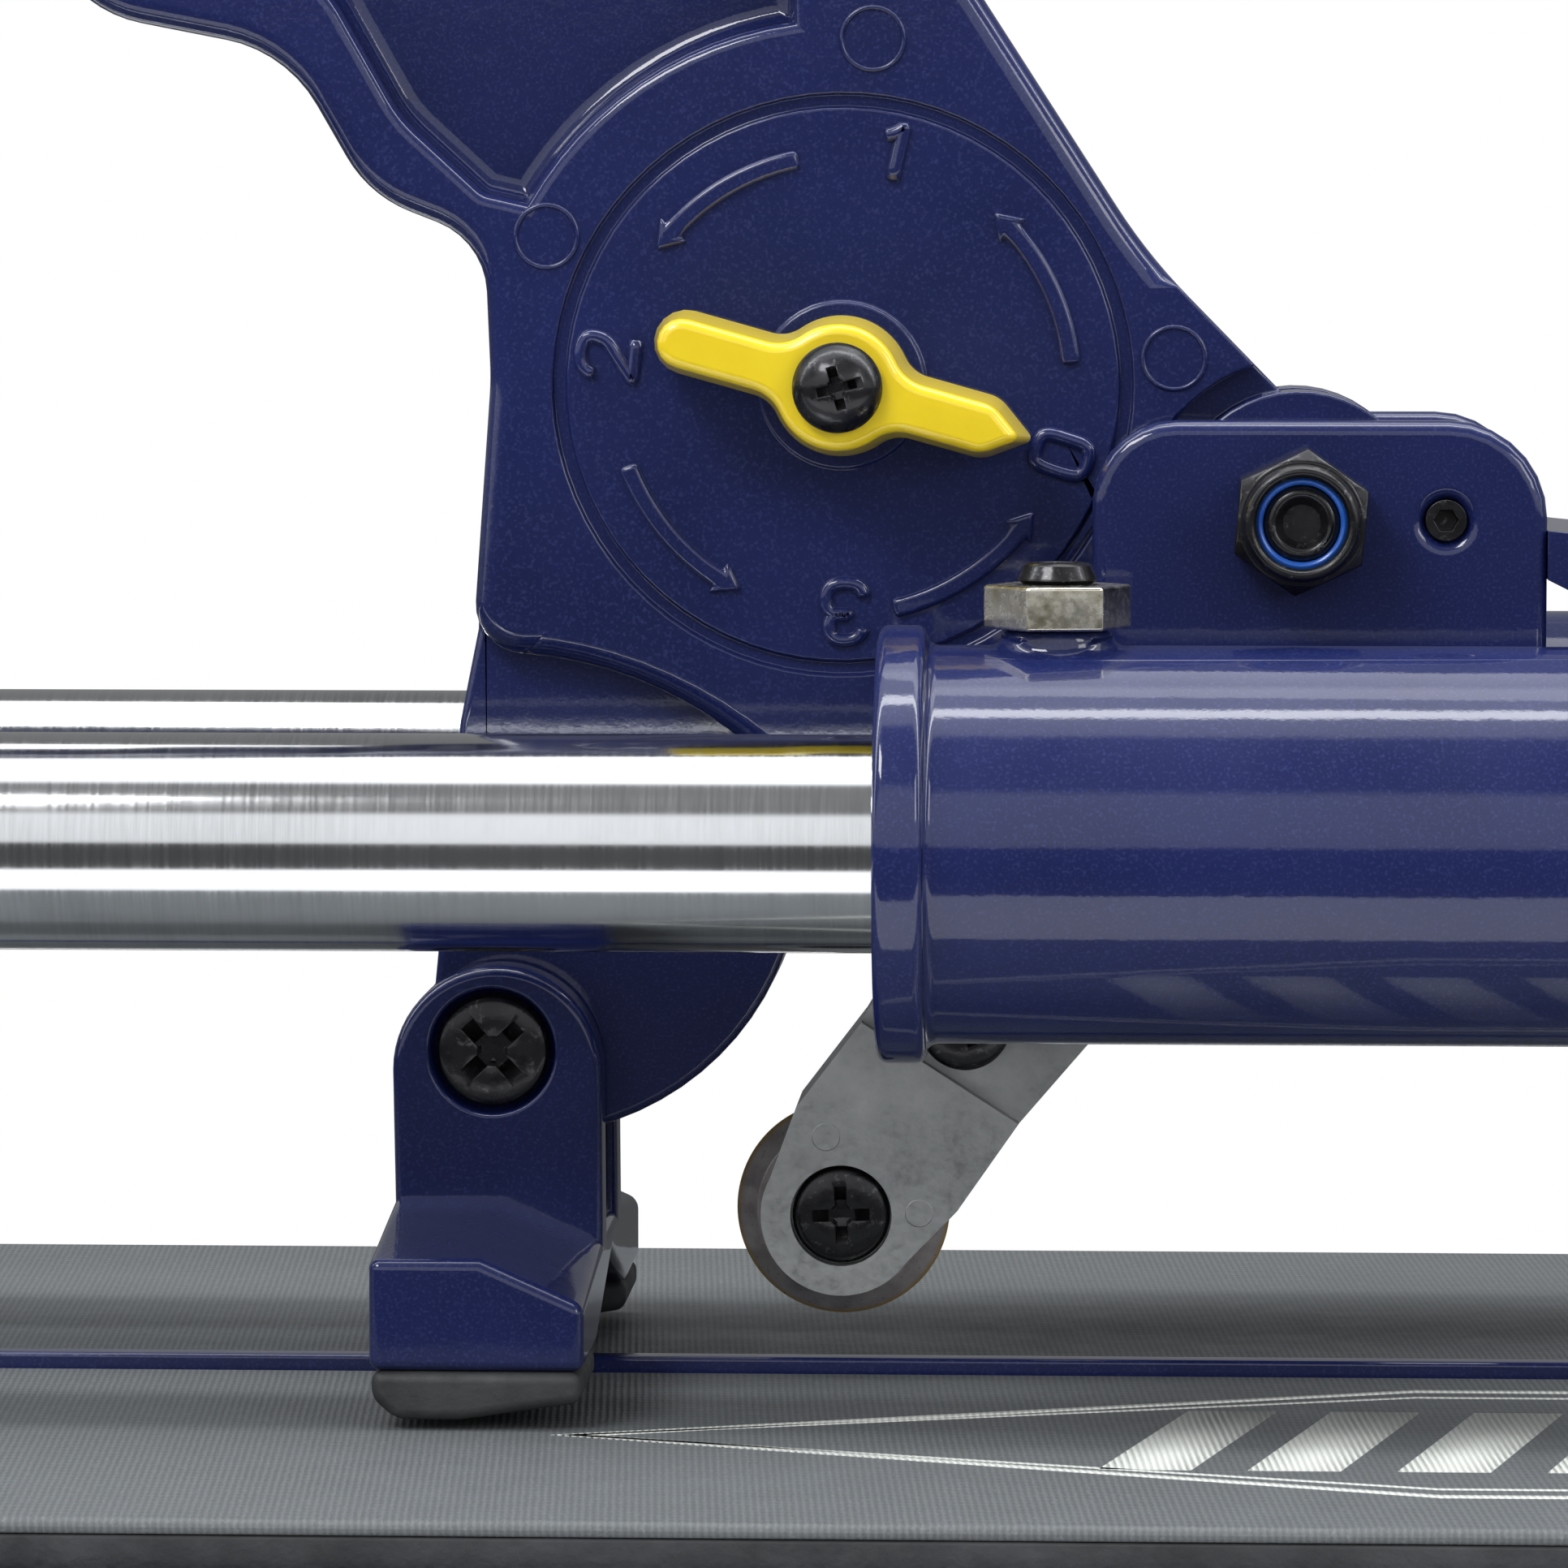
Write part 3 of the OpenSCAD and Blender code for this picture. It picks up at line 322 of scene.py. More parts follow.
@dataclass(frozen=True)
class RibbedRubber:
    """Grey pad cover: fine slanting ribs with a woven break, painted shade darkening the grooves, and pale grit specks.
    """

    pitch: float = 0.00072
    slant: float = -3.7
    # low is the groove tone and high the crest tone; the darker grooves are painted shade.
    low: tuple = (0.084, 0.090, 0.094)
    high: tuple = (0.124, 0.134, 0.140)

    def make(self) -> bpy.types.Material:
        """Returns the material."""
        mix = Recipe("ribbed rubber", Specular_IOR_Level=0.4)
        ribs = mix.stripes(self.pitch, self.slant, 1.6)
        cross = mix.stripes(self.pitch * 2.4, self.slant - 84.0, 1.2)
        cloth = mix.node("Math", operation="MULTIPLY_ADD")
        mix.join(cross, cloth.inputs[0])
        cloth.inputs[1].default_value = 0.35
        mix.join(ribs, cloth.inputs[2])
        # Painted shade: the tone follows the ribs' height, darker in the grooves and lighter on the crests.
        shade = mix.blend(mix.spread(cloth.outputs[0], 0.0, 1.0, 0.1, 1.1), self.low, self.high)
        haze = mix.cloud(0.02, 6.0, 0.0, 0.35, 0.35, 0.75, 0.65)
        grit = mix.cloud(0.0003, 2.0, 0.0, 0.5, 0.62, 0.8)
        mix.colour(mix.blend(grit, mix.blend(haze, shade, (0.13, 0.142, 0.15)), (0.22, 0.23, 0.235)))
        mix.roughness(mix.cloud(0.003, 4.0, 0.5, 0.68))
        mix.relief((cloth.outputs[0], 0.00007), (mix.noise(0.0002, 3.0), 0.00005))
        return mix.material


@dataclass(frozen=True)
class Ink:
    """White ink laid on the ribs, greyed towards the grooves between them as painted shade."""

    ribs: RibbedRubber = RibbedRubber()

    def make(self) -> bpy.types.Material:
        """Returns the material."""
        mix = Recipe("white ink", Specular_IOR_Level=0.35)
        ribs = mix.stripes(self.ribs.pitch, self.ribs.slant, 0.6)
        # Painted shade: the ink turns grey where the ribs are low, in the grooves.
        thin = mix.spread(ribs, 0.55, 0.0, 0.0, 0.5)
        mix.colour(mix.blend(thin, (0.66, 0.68, 0.64), (0.30, 0.32, 0.31)))
        mix.roughness(mix.cloud(0.002, 4.0, 0.55, 0.7))
        mix.relief((ribs, 0.00014), (mix.noise(0.0003, 3.0), 0.00003))
        return mix.material


FINISHES: dict[str, object] = {
    "blue_enamel": Enamel(),
    "chrome_rail": Metal("hard chrome", (0.56, 0.57, 0.58), (0.76, 0.77, 0.79), (0.10, 0.15), 0.0005, 0.0000004,
                         Run.ROUND_X, 0.02),
    "bright_steel": Metal("zinc plated steel", (0.38, 0.39, 0.40), (0.68, 0.69, 0.70), (0.22, 0.38)),
    "black_oxide": Oxide(),
    "zinc_yellow": Metal("yellow passivated zinc", (0.60, 0.52, 0.34), (0.80, 0.78, 0.70), (0.18, 0.32), 0.0005,
                         0.000008, Run.NONE, 0.0025),
    "cast_zinc": Metal("cast zinc", (0.27, 0.28, 0.285), (0.50, 0.51, 0.515), (0.36, 0.6), 0.00045, 0.00003,
                       Run.NONE, 0.004),
    "carbide": Carbide(),
    "yellow_plastic": Moulding("yellow plastic", (0.80, 0.585, 0.006), (0.86, 0.66, 0.012), (0.28, 0.36), 0.0012,
                               0.00002, 0.7, 0.12),
    "blue_nylon": Moulding("blue nylon", (0.010, 0.08, 0.42), (0.02, 0.15, 0.6), (0.25, 0.4), 0.0008, 0.00001, 0.4,
                           0.2),
    "white_nylon": Moulding("white nylon", (0.70, 0.68, 0.60), (0.78, 0.76, 0.70), (0.35, 0.5)),
    "black_plastic": Moulding("black plastic", (0.010, 0.010, 0.011), (0.020, 0.020, 0.022), (0.4, 0.6), 0.0004,
                              0.00004),
    "pad_rubber": RibbedRubber(),
    "pad_foam": Moulding("cell foam", (0.018, 0.019, 0.021), (0.040, 0.043, 0.046), (0.75, 0.95), 0.0007, 0.0002),
    "black_rubber": Moulding("black rubber", (0.022, 0.023, 0.025), (0.050, 0.052, 0.055), (0.5, 0.75), 0.0005,
                             0.00008),
    "bronze": Metal("sintered bronze", (0.33, 0.20, 0.08), (0.52, 0.36, 0.18), (0.35, 0.5)),
    "fence_aluminium": Metal("anodised aluminium", (0.55, 0.56, 0.57), (0.74, 0.75, 0.76), (0.3, 0.42), 0.0005,
                             0.000006, Run.ALONG_Z),
}


class PaintShop:
    """Makes each finish once and hands it to the pieces."""

    def __init__(self) -> None:
        """Starts with nothing mixed."""
        self.mixed: dict[str, bpy.types.Material] = {}

    def coat(self, piece: Piece, slot: str) -> None:
        """Gives a piece the finish of a material slot."""
        if slot not in self.mixed:
            self.mixed[slot] = FINISHES[slot].make()
        piece.data.materials.clear()
        piece.data.materials.append(self.mixed[slot])


PAINT = PaintShop()


# ---- making and handing over pieces ----


def placed(name: str, data: bpy.types.ID) -> Piece:
    """Puts an object with this data in the scene and returns it."""
    made = bpy.data.objects.new(name, data)
    bpy.context.scene.collection.objects.link(made)
    return made


def evaluated(piece: Piece) -> bpy.types.Mesh:
    """Returns a new mesh of a piece as its modifiers leave it."""
    bpy.context.view_layer.update()
    return bpy.data.meshes.new_from_object(piece.evaluated_get(bpy.context.evaluated_depsgraph_get()))


def keep(shape: Shape, name: str, body: str, slot: str, nodes: Sequence[str] = ()) -> Piece:
    """Turns a finished bmesh into a piece of the object.

    Args:
        shape: The mesh, in metres, in place.
        name: Name of the piece.
        body: Body that the piece rides on.
        slot: Material slot of its finish.
        nodes: CAD nodes that the piece stands for.

    Returns:
        The piece.
    """
    mesh = bpy.data.meshes.new(name)
    for face in shape.faces:
        face.smooth = True
    shape.to_mesh(mesh)
    shape.free()
    piece = placed(name, mesh)
    PAINT.coat(piece, slot)
    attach(piece, body)
    if nodes:
        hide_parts(*nodes)
    log.info("%s: %d faces on %s", name, len(mesh.polygons), body)
    return piece


def round_edges(piece: Piece, width: float, segments: int = 3, angle: float = SHARP,
                weighted: bool = False, clamp: bool = True) -> None:
    """Rounds the sharp edges of a piece and evens its shading.

    Args:
        piece: The piece.
        width: Width of the rounding in metres.
        segments: Faces across the rounding.
        angle: Smallest angle in degrees that counts as an edge.
        weighted: Whether each edge's own weight sets its share of the width.
        clamp: Whether the rounding stops where it would meet another.
    """
    bevel = piece.modifiers.new("rounding", "BEVEL")
    bevel.width = width
    bevel.segments = segments
    bevel.profile = 0.5
    bevel.material = -1
    bevel.limit_method = "WEIGHT" if weighted else "ANGLE"
    bevel.angle_limit = math.radians(angle)
    bevel.harden_normals = False
    bevel.use_clamp_overlap = clamp
    bevel.loop_slide = False
    even_shading(piece)


def even_shading(piece: Piece) -> None:
    """Gives the wide faces of a piece the say over its shading."""
    even = piece.modifiers.new("shading", "WEIGHTED_NORMAL")
    even.keep_sharp = True
    even.weight = 60


def node_copy(node: str, flat: float = 0.4) -> Shape:
    """Returns a merged copy of a CAD node's mesh with its flat faces made whole.

    Args:
        node: Name of the CAD node.
        flat: Angle in degrees under which neighbouring faces count as one flat.
    """
    shape = bmesh.new()
    shape.from_mesh(frame["nodes"][node].data)
    bmesh.ops.remove_doubles(shape, verts=shape.verts, dist=0.002 * MM)
    bmesh.ops.dissolve_degenerate(shape, edges=shape.edges, dist=0.001 * MM)
    bmesh.ops.dissolve_limit(shape, angle_limit=math.radians(flat), verts=shape.verts, edges=shape.edges,
                             use_dissolve_boundaries=False)
    return shape


def soften(node: str, width: float = 0.35, segments: int = 2, clamp: bool = True) -> Piece:
    """Makes the finished piece of a CAD node whose shape is right: its edges are broken and it gets its finish.

    Args:
        node: Name of the CAD node.
        width: Width of the broken edges in millimetres.
        segments: Faces across an edge.
        clamp: Whether the rounding stops where it would meet another.

    Returns:
        The piece.
    """
    cad = frame["nodes"][node]
    piece = keep(node_copy(node), node + "_part", cad["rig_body"], SLOT_OF[node], (node,))
    round_edges(piece, width * MM, segments, clamp=clamp)
    return piece


def polar(radius: float, angle: float) -> tuple[float, float]:
    """Returns the point at a distance and an angle in degrees from the middle."""
    return radius * math.cos(math.radians(angle)), radius * math.sin(math.radians(angle))


def mm(*points: tuple[float, float]) -> list[tuple[float, float]]:
    """Returns points given in millimetres, in metres."""
    return [(a * MM, b * MM) for a, b in points]


def turned(shape: Shape, profile: Sequence[tuple[float, float]], centre: Vector, steps: int = 64,
           axis: Vector = BACK) -> None:
    """Adds a turned solid.

    Args:
        shape: Mesh to add to.
        profile: Pairs of a radius and a distance along the axis, in metres; a closed line, or one from axis to axis.
        centre: Point on the axis where the distances start.
        steps: Faces round the axis.
        axis: Direction of the axis, at a right angle to X, along which the radii are drawn.
    """
    verts = [shape.verts.new(centre + RIGHT * r + axis * h) for r, h in profile]
    edges = [shape.edges.new(pair) for pair in zip(verts, verts[1:])]
    if profile[0][0] > 0:
        edges.append(shape.edges.new((verts[-1], verts[0])))
    bmesh.ops.spin(shape, geom=verts + edges, cent=centre, axis=axis, angle=math.tau, steps=steps, use_merge=True)
    bmesh.ops.remove_doubles(shape, verts=shape.verts, dist=0.001 * MM)
    bmesh.ops.recalc_face_normals(shape, faces=shape.faces)


def slab(shape: Shape, corners: Sequence[Sequence[float]], step: Sequence[float]) -> list:
    """Adds a solid between a flat outline and its copy.

    Args:
        shape: Mesh to add to.
        corners: Corners of the outline in metres, in order.
        step: Way from the outline to its copy.

    Returns:
        The elements of the copy.
    """
    verts = [shape.verts.new(corner) for corner in corners]
    made = bmesh.ops.extrude_face_region(shape, geom=[shape.faces.new(verts)], use_keep_orig=True)["geom"]
    far = [v for v in made if isinstance(v, bmesh.types.BMVert)]
    bmesh.ops.translate(shape, verts=far, vec=step)
    bmesh.ops.recalc_face_normals(shape, faces=list({f for v in verts + far for f in v.link_faces}))
    return made


def centre_of(node: str) -> Vector:
    """Returns the middle of a CAD node's box."""
    low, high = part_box(node)
    return (low + high) / 2


def carve(piece: Piece, cutter: Shape, way: str = "DIFFERENCE") -> None:
    """Cuts a piece with another mesh, which is then gone.

    Args:
        piece: The piece, whose mesh is replaced.
        cutter: The cutting mesh.
        way: Boolean operation, DIFFERENCE or INTERSECT.
    """
    mesh = bpy.data.meshes.new("cutter")
    cutter.to_mesh(mesh)
    cutter.free()
    tool = placed("cutter", mesh)
    cut = piece.modifiers.new("cut", "BOOLEAN")
    cut.operation = way
    cut.solver = "EXACT"
    cut.use_self = True
    cut.object = tool
    made = evaluated(piece)
    piece.modifiers.remove(cut)
    piece.data = made
    bpy.data.objects.remove(tool)
    shape = bmesh.new()
    shape.from_mesh(made)
    bmesh.ops.remove_doubles(shape, verts=shape.verts, dist=0.003 * MM)
    for face in shape.faces:
        face.smooth = True
    shape.to_mesh(made)
    shape.free()


def bake(piece: Piece) -> None:
    """Turns a piece's modifiers into its mesh."""
    made = evaluated(piece)
    piece.modifiers.clear()
    piece.data = made


STROKES: dict[str, tuple] = {
    "0": ((-1.75, 0.0), (-1.75, 2.0), (-1.0, 2.75), (1.0, 2.75), (1.75, 2.0), (1.75, -2.0), (1.0, -2.75), (-1.0, -2.75),
          (-1.75, -2.0)),
    "1": ((-1.3, 1.6), (-0.4, 2.0), (0.3, 2.7), (0.3, 2.7), (0.3, 2.0), (0.3, -2.7)),
    "2": ((-1.9, 1.4), (-1.8, 2.9), (1.9, 3.1), (1.9, 0.6), (0.2, -0.7), (-2.0, -2.6), (-2.0, -2.6), (-1.2, -2.6),
          (2.0, -2.6)),
    "3": ((-1.7, 1.7), (-1.5, 2.9), (1.7, 3.0), (1.7, 0.3), (-0.3, 0.25), (-0.3, 0.25), (2.0, 0.2), (2.0, -3.0),
          (-1.8, -3.0), (-1.9, -1.6)),
}


@dataclass
class CrossScrew:
    """Screw that faces the front, with a cross recess in its head."""

    node: str
    body: str
    head: float
    recess: float
    turn: float
    flat: bool = True
    slot: float = 0.0

    def build(self) -> None:
        """Turns the screw, cuts its recess and breaks its edges."""
        low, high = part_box(self.node)
        radius = (high.x - low.x) / 2
        centre = Vector(((low.x + high.x) / 2, low.y, (low.z + high.z) / 2))
        head, shank = self.head * MM, radius * 0.5
        shape = bmesh.new()
        if self.flat:
            top = [(0.0, 0.02 * MM), (radius * 0.55, 0.06 * MM), (radius - 0.9 * MM, 0.2 * MM),
                   (radius - 0.35 * MM, 0.45 * MM), (radius, 1.0 * MM)]
        else:
            ball = (radius ** 2 + head ** 2) / (2 * head)
            lean = math.asin(radius / ball)
            top = [(ball * math.sin(lean * i / 9), ball * (1 - math.cos(lean * i / 9))) for i in range(10)]
        profile = top + [(radius, head), (shank, head), (shank, high.y - low.y), (0.0, high.y - low.y)]
        turned(shape, profile, centre, 56)
        piece = keep(shape, self.node + "_part", self.body, SLOT_OF[self.node], (self.node,))
        carve(piece, self.cutter(centre, radius))
        round_edges(piece, 0.12 * MM, 2, 28.0)

    def cutter(self, centre: Vector, radius: float) -> Shape:
        """Returns the tapered cross, and the slot if the screw has one."""
        shape = bmesh.new()
        size, depth = self.recess * MM, self.head * 0.85 * MM
        for turn, reach in ((0.0, 1.0), (90.0, 0.95)):
            wing = bmesh.ops.create_cube(shape, size=1.0)["verts"]
            bmesh.ops.scale(shape, verts=wing, vec=(size, 1.2 * depth * reach, size * 0.2))
            bmesh.ops.translate(shape, verts=wing, vec=(0.0, 0.45 * depth, 0.0))
            bmesh.ops.scale(shape, verts=[v for v in wing if v.co.y > 0], vec=(0.42, 1.0, 0.7))
            bmesh.ops.rotate(shape, verts=wing, cent=(0, 0, 0), matrix=Matrix.Rotation(math.radians(turn), 3, "Y"))
        core = bmesh.ops.create_cone(shape, cap_ends=True, segments=8, radius1=size * 0.24, radius2=size * 0.16,
                                     depth=1.8 * depth, matrix=TO_FRONT.inverted())["verts"]
        bmesh.ops.rotate(shape, verts=core, cent=(0, 0, 0), matrix=Matrix.Rotation(math.radians(22.5), 3, "Y"))
        if self.slot:
            groove = bmesh.ops.create_cube(shape, size=1.0)["verts"]
            bmesh.ops.scale(shape, verts=groove, vec=(2 * radius * 0.9, 2 * self.slot * MM, 1.15 * MM))
        turned_by = Matrix.Rotation(math.radians(-self.turn), 3, "Y")
        bmesh.ops.rotate(shape, verts=shape.verts, cent=(0, 0, 0), matrix=turned_by)
        bmesh.ops.translate(shape, verts=shape.verts, vec=centre)
        return shape


@dataclass
class Base:
    """Pan, end caps, feet, ridge, pads and rail brackets."""

    pan_edge: float = 1.2
    cap_edge: float = 1.0
    bracket_edge: float = 1.2
    cover_edge: float = 1.4
    ink: float = 0.06
    mark_x: float = -73.0
    mark_y: float = -44.0
    mark_len: float = 190.0
    mark_half: float = 33.0

    def build(self) -> None:
        """Makes every fixed piece of the base."""
        soften("base_pan", self.pan_edge, 3)
        for side in ("left", "right"):
            soften("end_cap_" + side, self.cap_edge, 3)
            soften("bracket_" + side, self.bracket_edge, 3)
        soften("rubber_feet", 0.8, 2)
        for node in ("feet_screws", "bracket_bolts", "rail_bolts"):
            soften(node, 0.4)
        soften("breaking_ridge", 0.5, 3)
        self.pads()
        self.printing()

    def pads(self) -> None:
        """Makes the two covers with a rolled outer edge, and the foam under them."""
        for side in ("front", "rear"):
            soften(f"pad_{side}_cover", self.cover_edge, 4)
            soften(f"pad_{side}_foam", 0.3)

    def printing(self) -> None:
        """Prints plain slanted bars between two long tapering lines on the front pad."""
        shape = bmesh.new()
        x0, x1, half = self.mark_x, self.mark_x + self.mark_len, self.mark_half
        for side in (-1, 1):
            for reach, line in ((half, 1.7), (half - 4.5, 0.9)):
                near, far = side * reach, side * (reach - line)
                lean = 0.45 * self.mark_len
                self.stamp(shape, [(x0 - line, 0.0), (x0 + lean, near), (x1 - 30, near), (x1, side * 6),
                                   (x1 - 3, side * 6), (x1 - 31, far), (x0 + lean, far), (x0 + 2 * line, 0.0)])
        for count in range(7):
            x = x0 + 62 + 14.5 * count
            self.stamp(shape, [(x - 9, -half * 0.55), (x, -half * 0.55), (x + 9, half * 0.55), (x, half * 0.55)])
        piece = keep(shape, "pad_print", "base", "pad_rubber")
        piece.data.materials[0] = Ink().make()

    def stamp(self, shape: Shape, points: Sequence[tuple[float, float]]) -> None:
        """Adds one thin inked shape to the mark.

        Args:
            shape: Mesh of the mark.
            points: Corners in millimetres, along X and across the pad from the mark's middle line.
        """
        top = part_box("pad_front_cover")[1].z + self.ink * MM
        slab(shape, [(x * MM, (self.mark_y + y) * MM, top) for x, y in points], (0.0, 0.0, -2 * self.ink * MM))


@dataclass
class Rails:
    """The two chromed rails."""

    def build(self) -> None:
        """Makes both rails."""
        for side in ("front", "rear"):
            soften("rail_" + side, 0.6)


@dataclass
class FenceAndGuide:
    """Fence bar and the side guide that slides on it."""

    def build(self) -> None:
        """Makes the fence and its guide."""
        soften("fence_bar", 0.6, 2)
        soften("guide_head", 0.9, 3)
        soften("guide_knob", 1.0, 3)
        for node in ("fence_screws", "guide_screw"):
            soften(node, 0.3)


@dataclass
class Carriage:
    """Sleeves, plates, bridge, adjusters and the pivot bolt."""

    sleeve_edge: float = 1.1
    plate_edge: float = 1.5
    hex_turn: float = -5.0
    thread: float = 1.25
    collar: float = 2.0
    head_t: float = 5.3
    head_r: float = 7.5
    head_turn: float = 10.0

    def build(self) -> None:
        """Makes every piece that slides on the rails."""
        for side in ("front", "rear"):
            soften("sleeve_" + side, self.sleeve_edge, 4, False)
            soften("plate_" + side, self.plate_edge, 5, False)
        soften("carriage_bridge", 1.0, 3)
        soften("slide_bushes", 0.3)
        for node in ("adjuster_nuts", "stop_screws"):
            soften(node, 0.35)
        soften("thrust_washers", 0.1)
        self.grub_screws()
        self.lock_nut()
        self.bolt()

    def grub_screws(self) -> None:
        """Turns the adjuster screws with their threads and a hollow end."""
        low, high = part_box("adjuster_screws")
        radius = (high.x - low.x) / 2
        shape = bmesh.new()
        for y in (low.y + radius, high.y - radius):
            profile = [(0.0, low.z), (radius * 0.8, low.z)]
            turns = int((high.z - low.z) / (self.thread * MM))
            for i in range(turns):
                z = low.z + self.thread * MM * i
                profile += [(radius - 0.55 * MM, z + 0.15 * MM), (radius, z + 0.6 * MM), (radius, z + 0.75 * MM)]
            profile += [(radius - 0.6 * MM, high.z - 0.25 * MM), (radius - 1.0 * MM, high.z), (2.2 * MM, high.z),
                        (2.0 * MM, high.z - 3.0 * MM), (0.0, high.z - 3.4 * MM)]
            centre = Vector(((low.x + high.x) / 2, y, 0.0))
            turned(shape, profile, centre, 48, UP)
        round_edges(keep(shape, "adjuster_screws_part", "carriage", "black_oxide", ("adjuster_screws",)), 0.08 * MM, 2)

    def hexagon(self, shape: Shape, middle: Vector, radius: float, thick: float, turn: float) -> None:
        """Adds a six-sided block along Y, turned by some degrees."""
        place = Matrix.Translation(middle) @ TO_FRONT @ Matrix.Rotation(math.radians(turn), 4, "Z")
        bmesh.ops.create_cone(shape, cap_ends=True, segments=6, radius1=radius, radius2=radius, depth=thick, matrix=place)

    def lock_nut(self) -> None:
        """Makes the chamfered nut with its crimped collar, and the thin blue ring inside it."""
        low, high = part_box("lock_nut")
        axis = centre_of("pivot_bolt")
        radius, deep = (high.x - low.x) / 2, high.y - low.y
        middle = Vector((axis.x, low.y, axis.z))
        shape = bmesh.new()
        thick = deep - self.collar * MM
        self.hexagon(shape, middle + Vector((0, self.collar * MM + thick / 2, 0)), radius, thick, self.hex_turn)
        piece = keep(shape, "lock_nut_part", "carriage", "black_oxide", ("lock_nut",))
        mould = bmesh.new()
        turned(mould, [(0.0, 1.9 * MM), (6.1 * MM, 1.9 * MM), (radius + 0.1 * MM, 3.1 * MM), (radius + 0.1 * MM, deep),
                       (0.0, deep)], middle, 72)
        carve(piece, mould, "INTERSECT")
        round_edges(piece, 0.25 * MM, 3, 25.0)
        collar = bmesh.new()
        turned(collar, mm((4.55, 0.6), (5.0, 0.05), (5.5, 0.1), (5.9, 0.7), (6.0, 2.2), (4.7, 2.2), (4.6, 1.2)),
               middle, 72)
        round_edges(keep(collar, "lock_nut_collar", "carriage", "black_oxide"), 0.2 * MM, 3, 20.0)
        ring = bmesh.new()
        turned(ring, mm((3.9, 1.5), (4.3, 1.25), (4.75, 1.6), (4.75, 1.8), (3.9, 1.8)), middle, 72)
        round_edges(keep(ring, "lock_nut_ring_part", "carriage", "blue_nylon", ("lock_nut_ring",)), 0.15 * MM, 2, 20.0)

    def bolt(self) -> None:
        """Turns the pivot bolt with its hollow, chamfered end and sets its hexagon head at the rear."""
        low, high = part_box("pivot_bolt")
        axis = centre_of("pivot_bolt")
        shape = bmesh.new()
        head = high.y - self.head_t * MM
        start = Vector((axis.x, 0.0, axis.z))
        turned(shape, [(0.0, low.y + 1.5 * MM), (1.6 * MM, low.y + 1.3 * MM), (2.5 * MM, low.y + 0.35 * MM),
                       (2.8 * MM, low.y), (3.3 * MM, low.y + 0.05 * MM), (3.95 * MM, low.y + 0.8 * MM),
                       (3.95 * MM, head), (0.0, head)], start)
        middle = Vector((axis.x, (head + high.y) / 2, axis.z))
        self.hexagon(shape, middle, self.head_r * MM, high.y - head, self.head_turn)
        piece = keep(shape, "pivot_bolt_part", "carriage", "black_oxide", ("pivot_bolt",))
        round_edges(piece, 0.4 * MM, 3, 25.0)


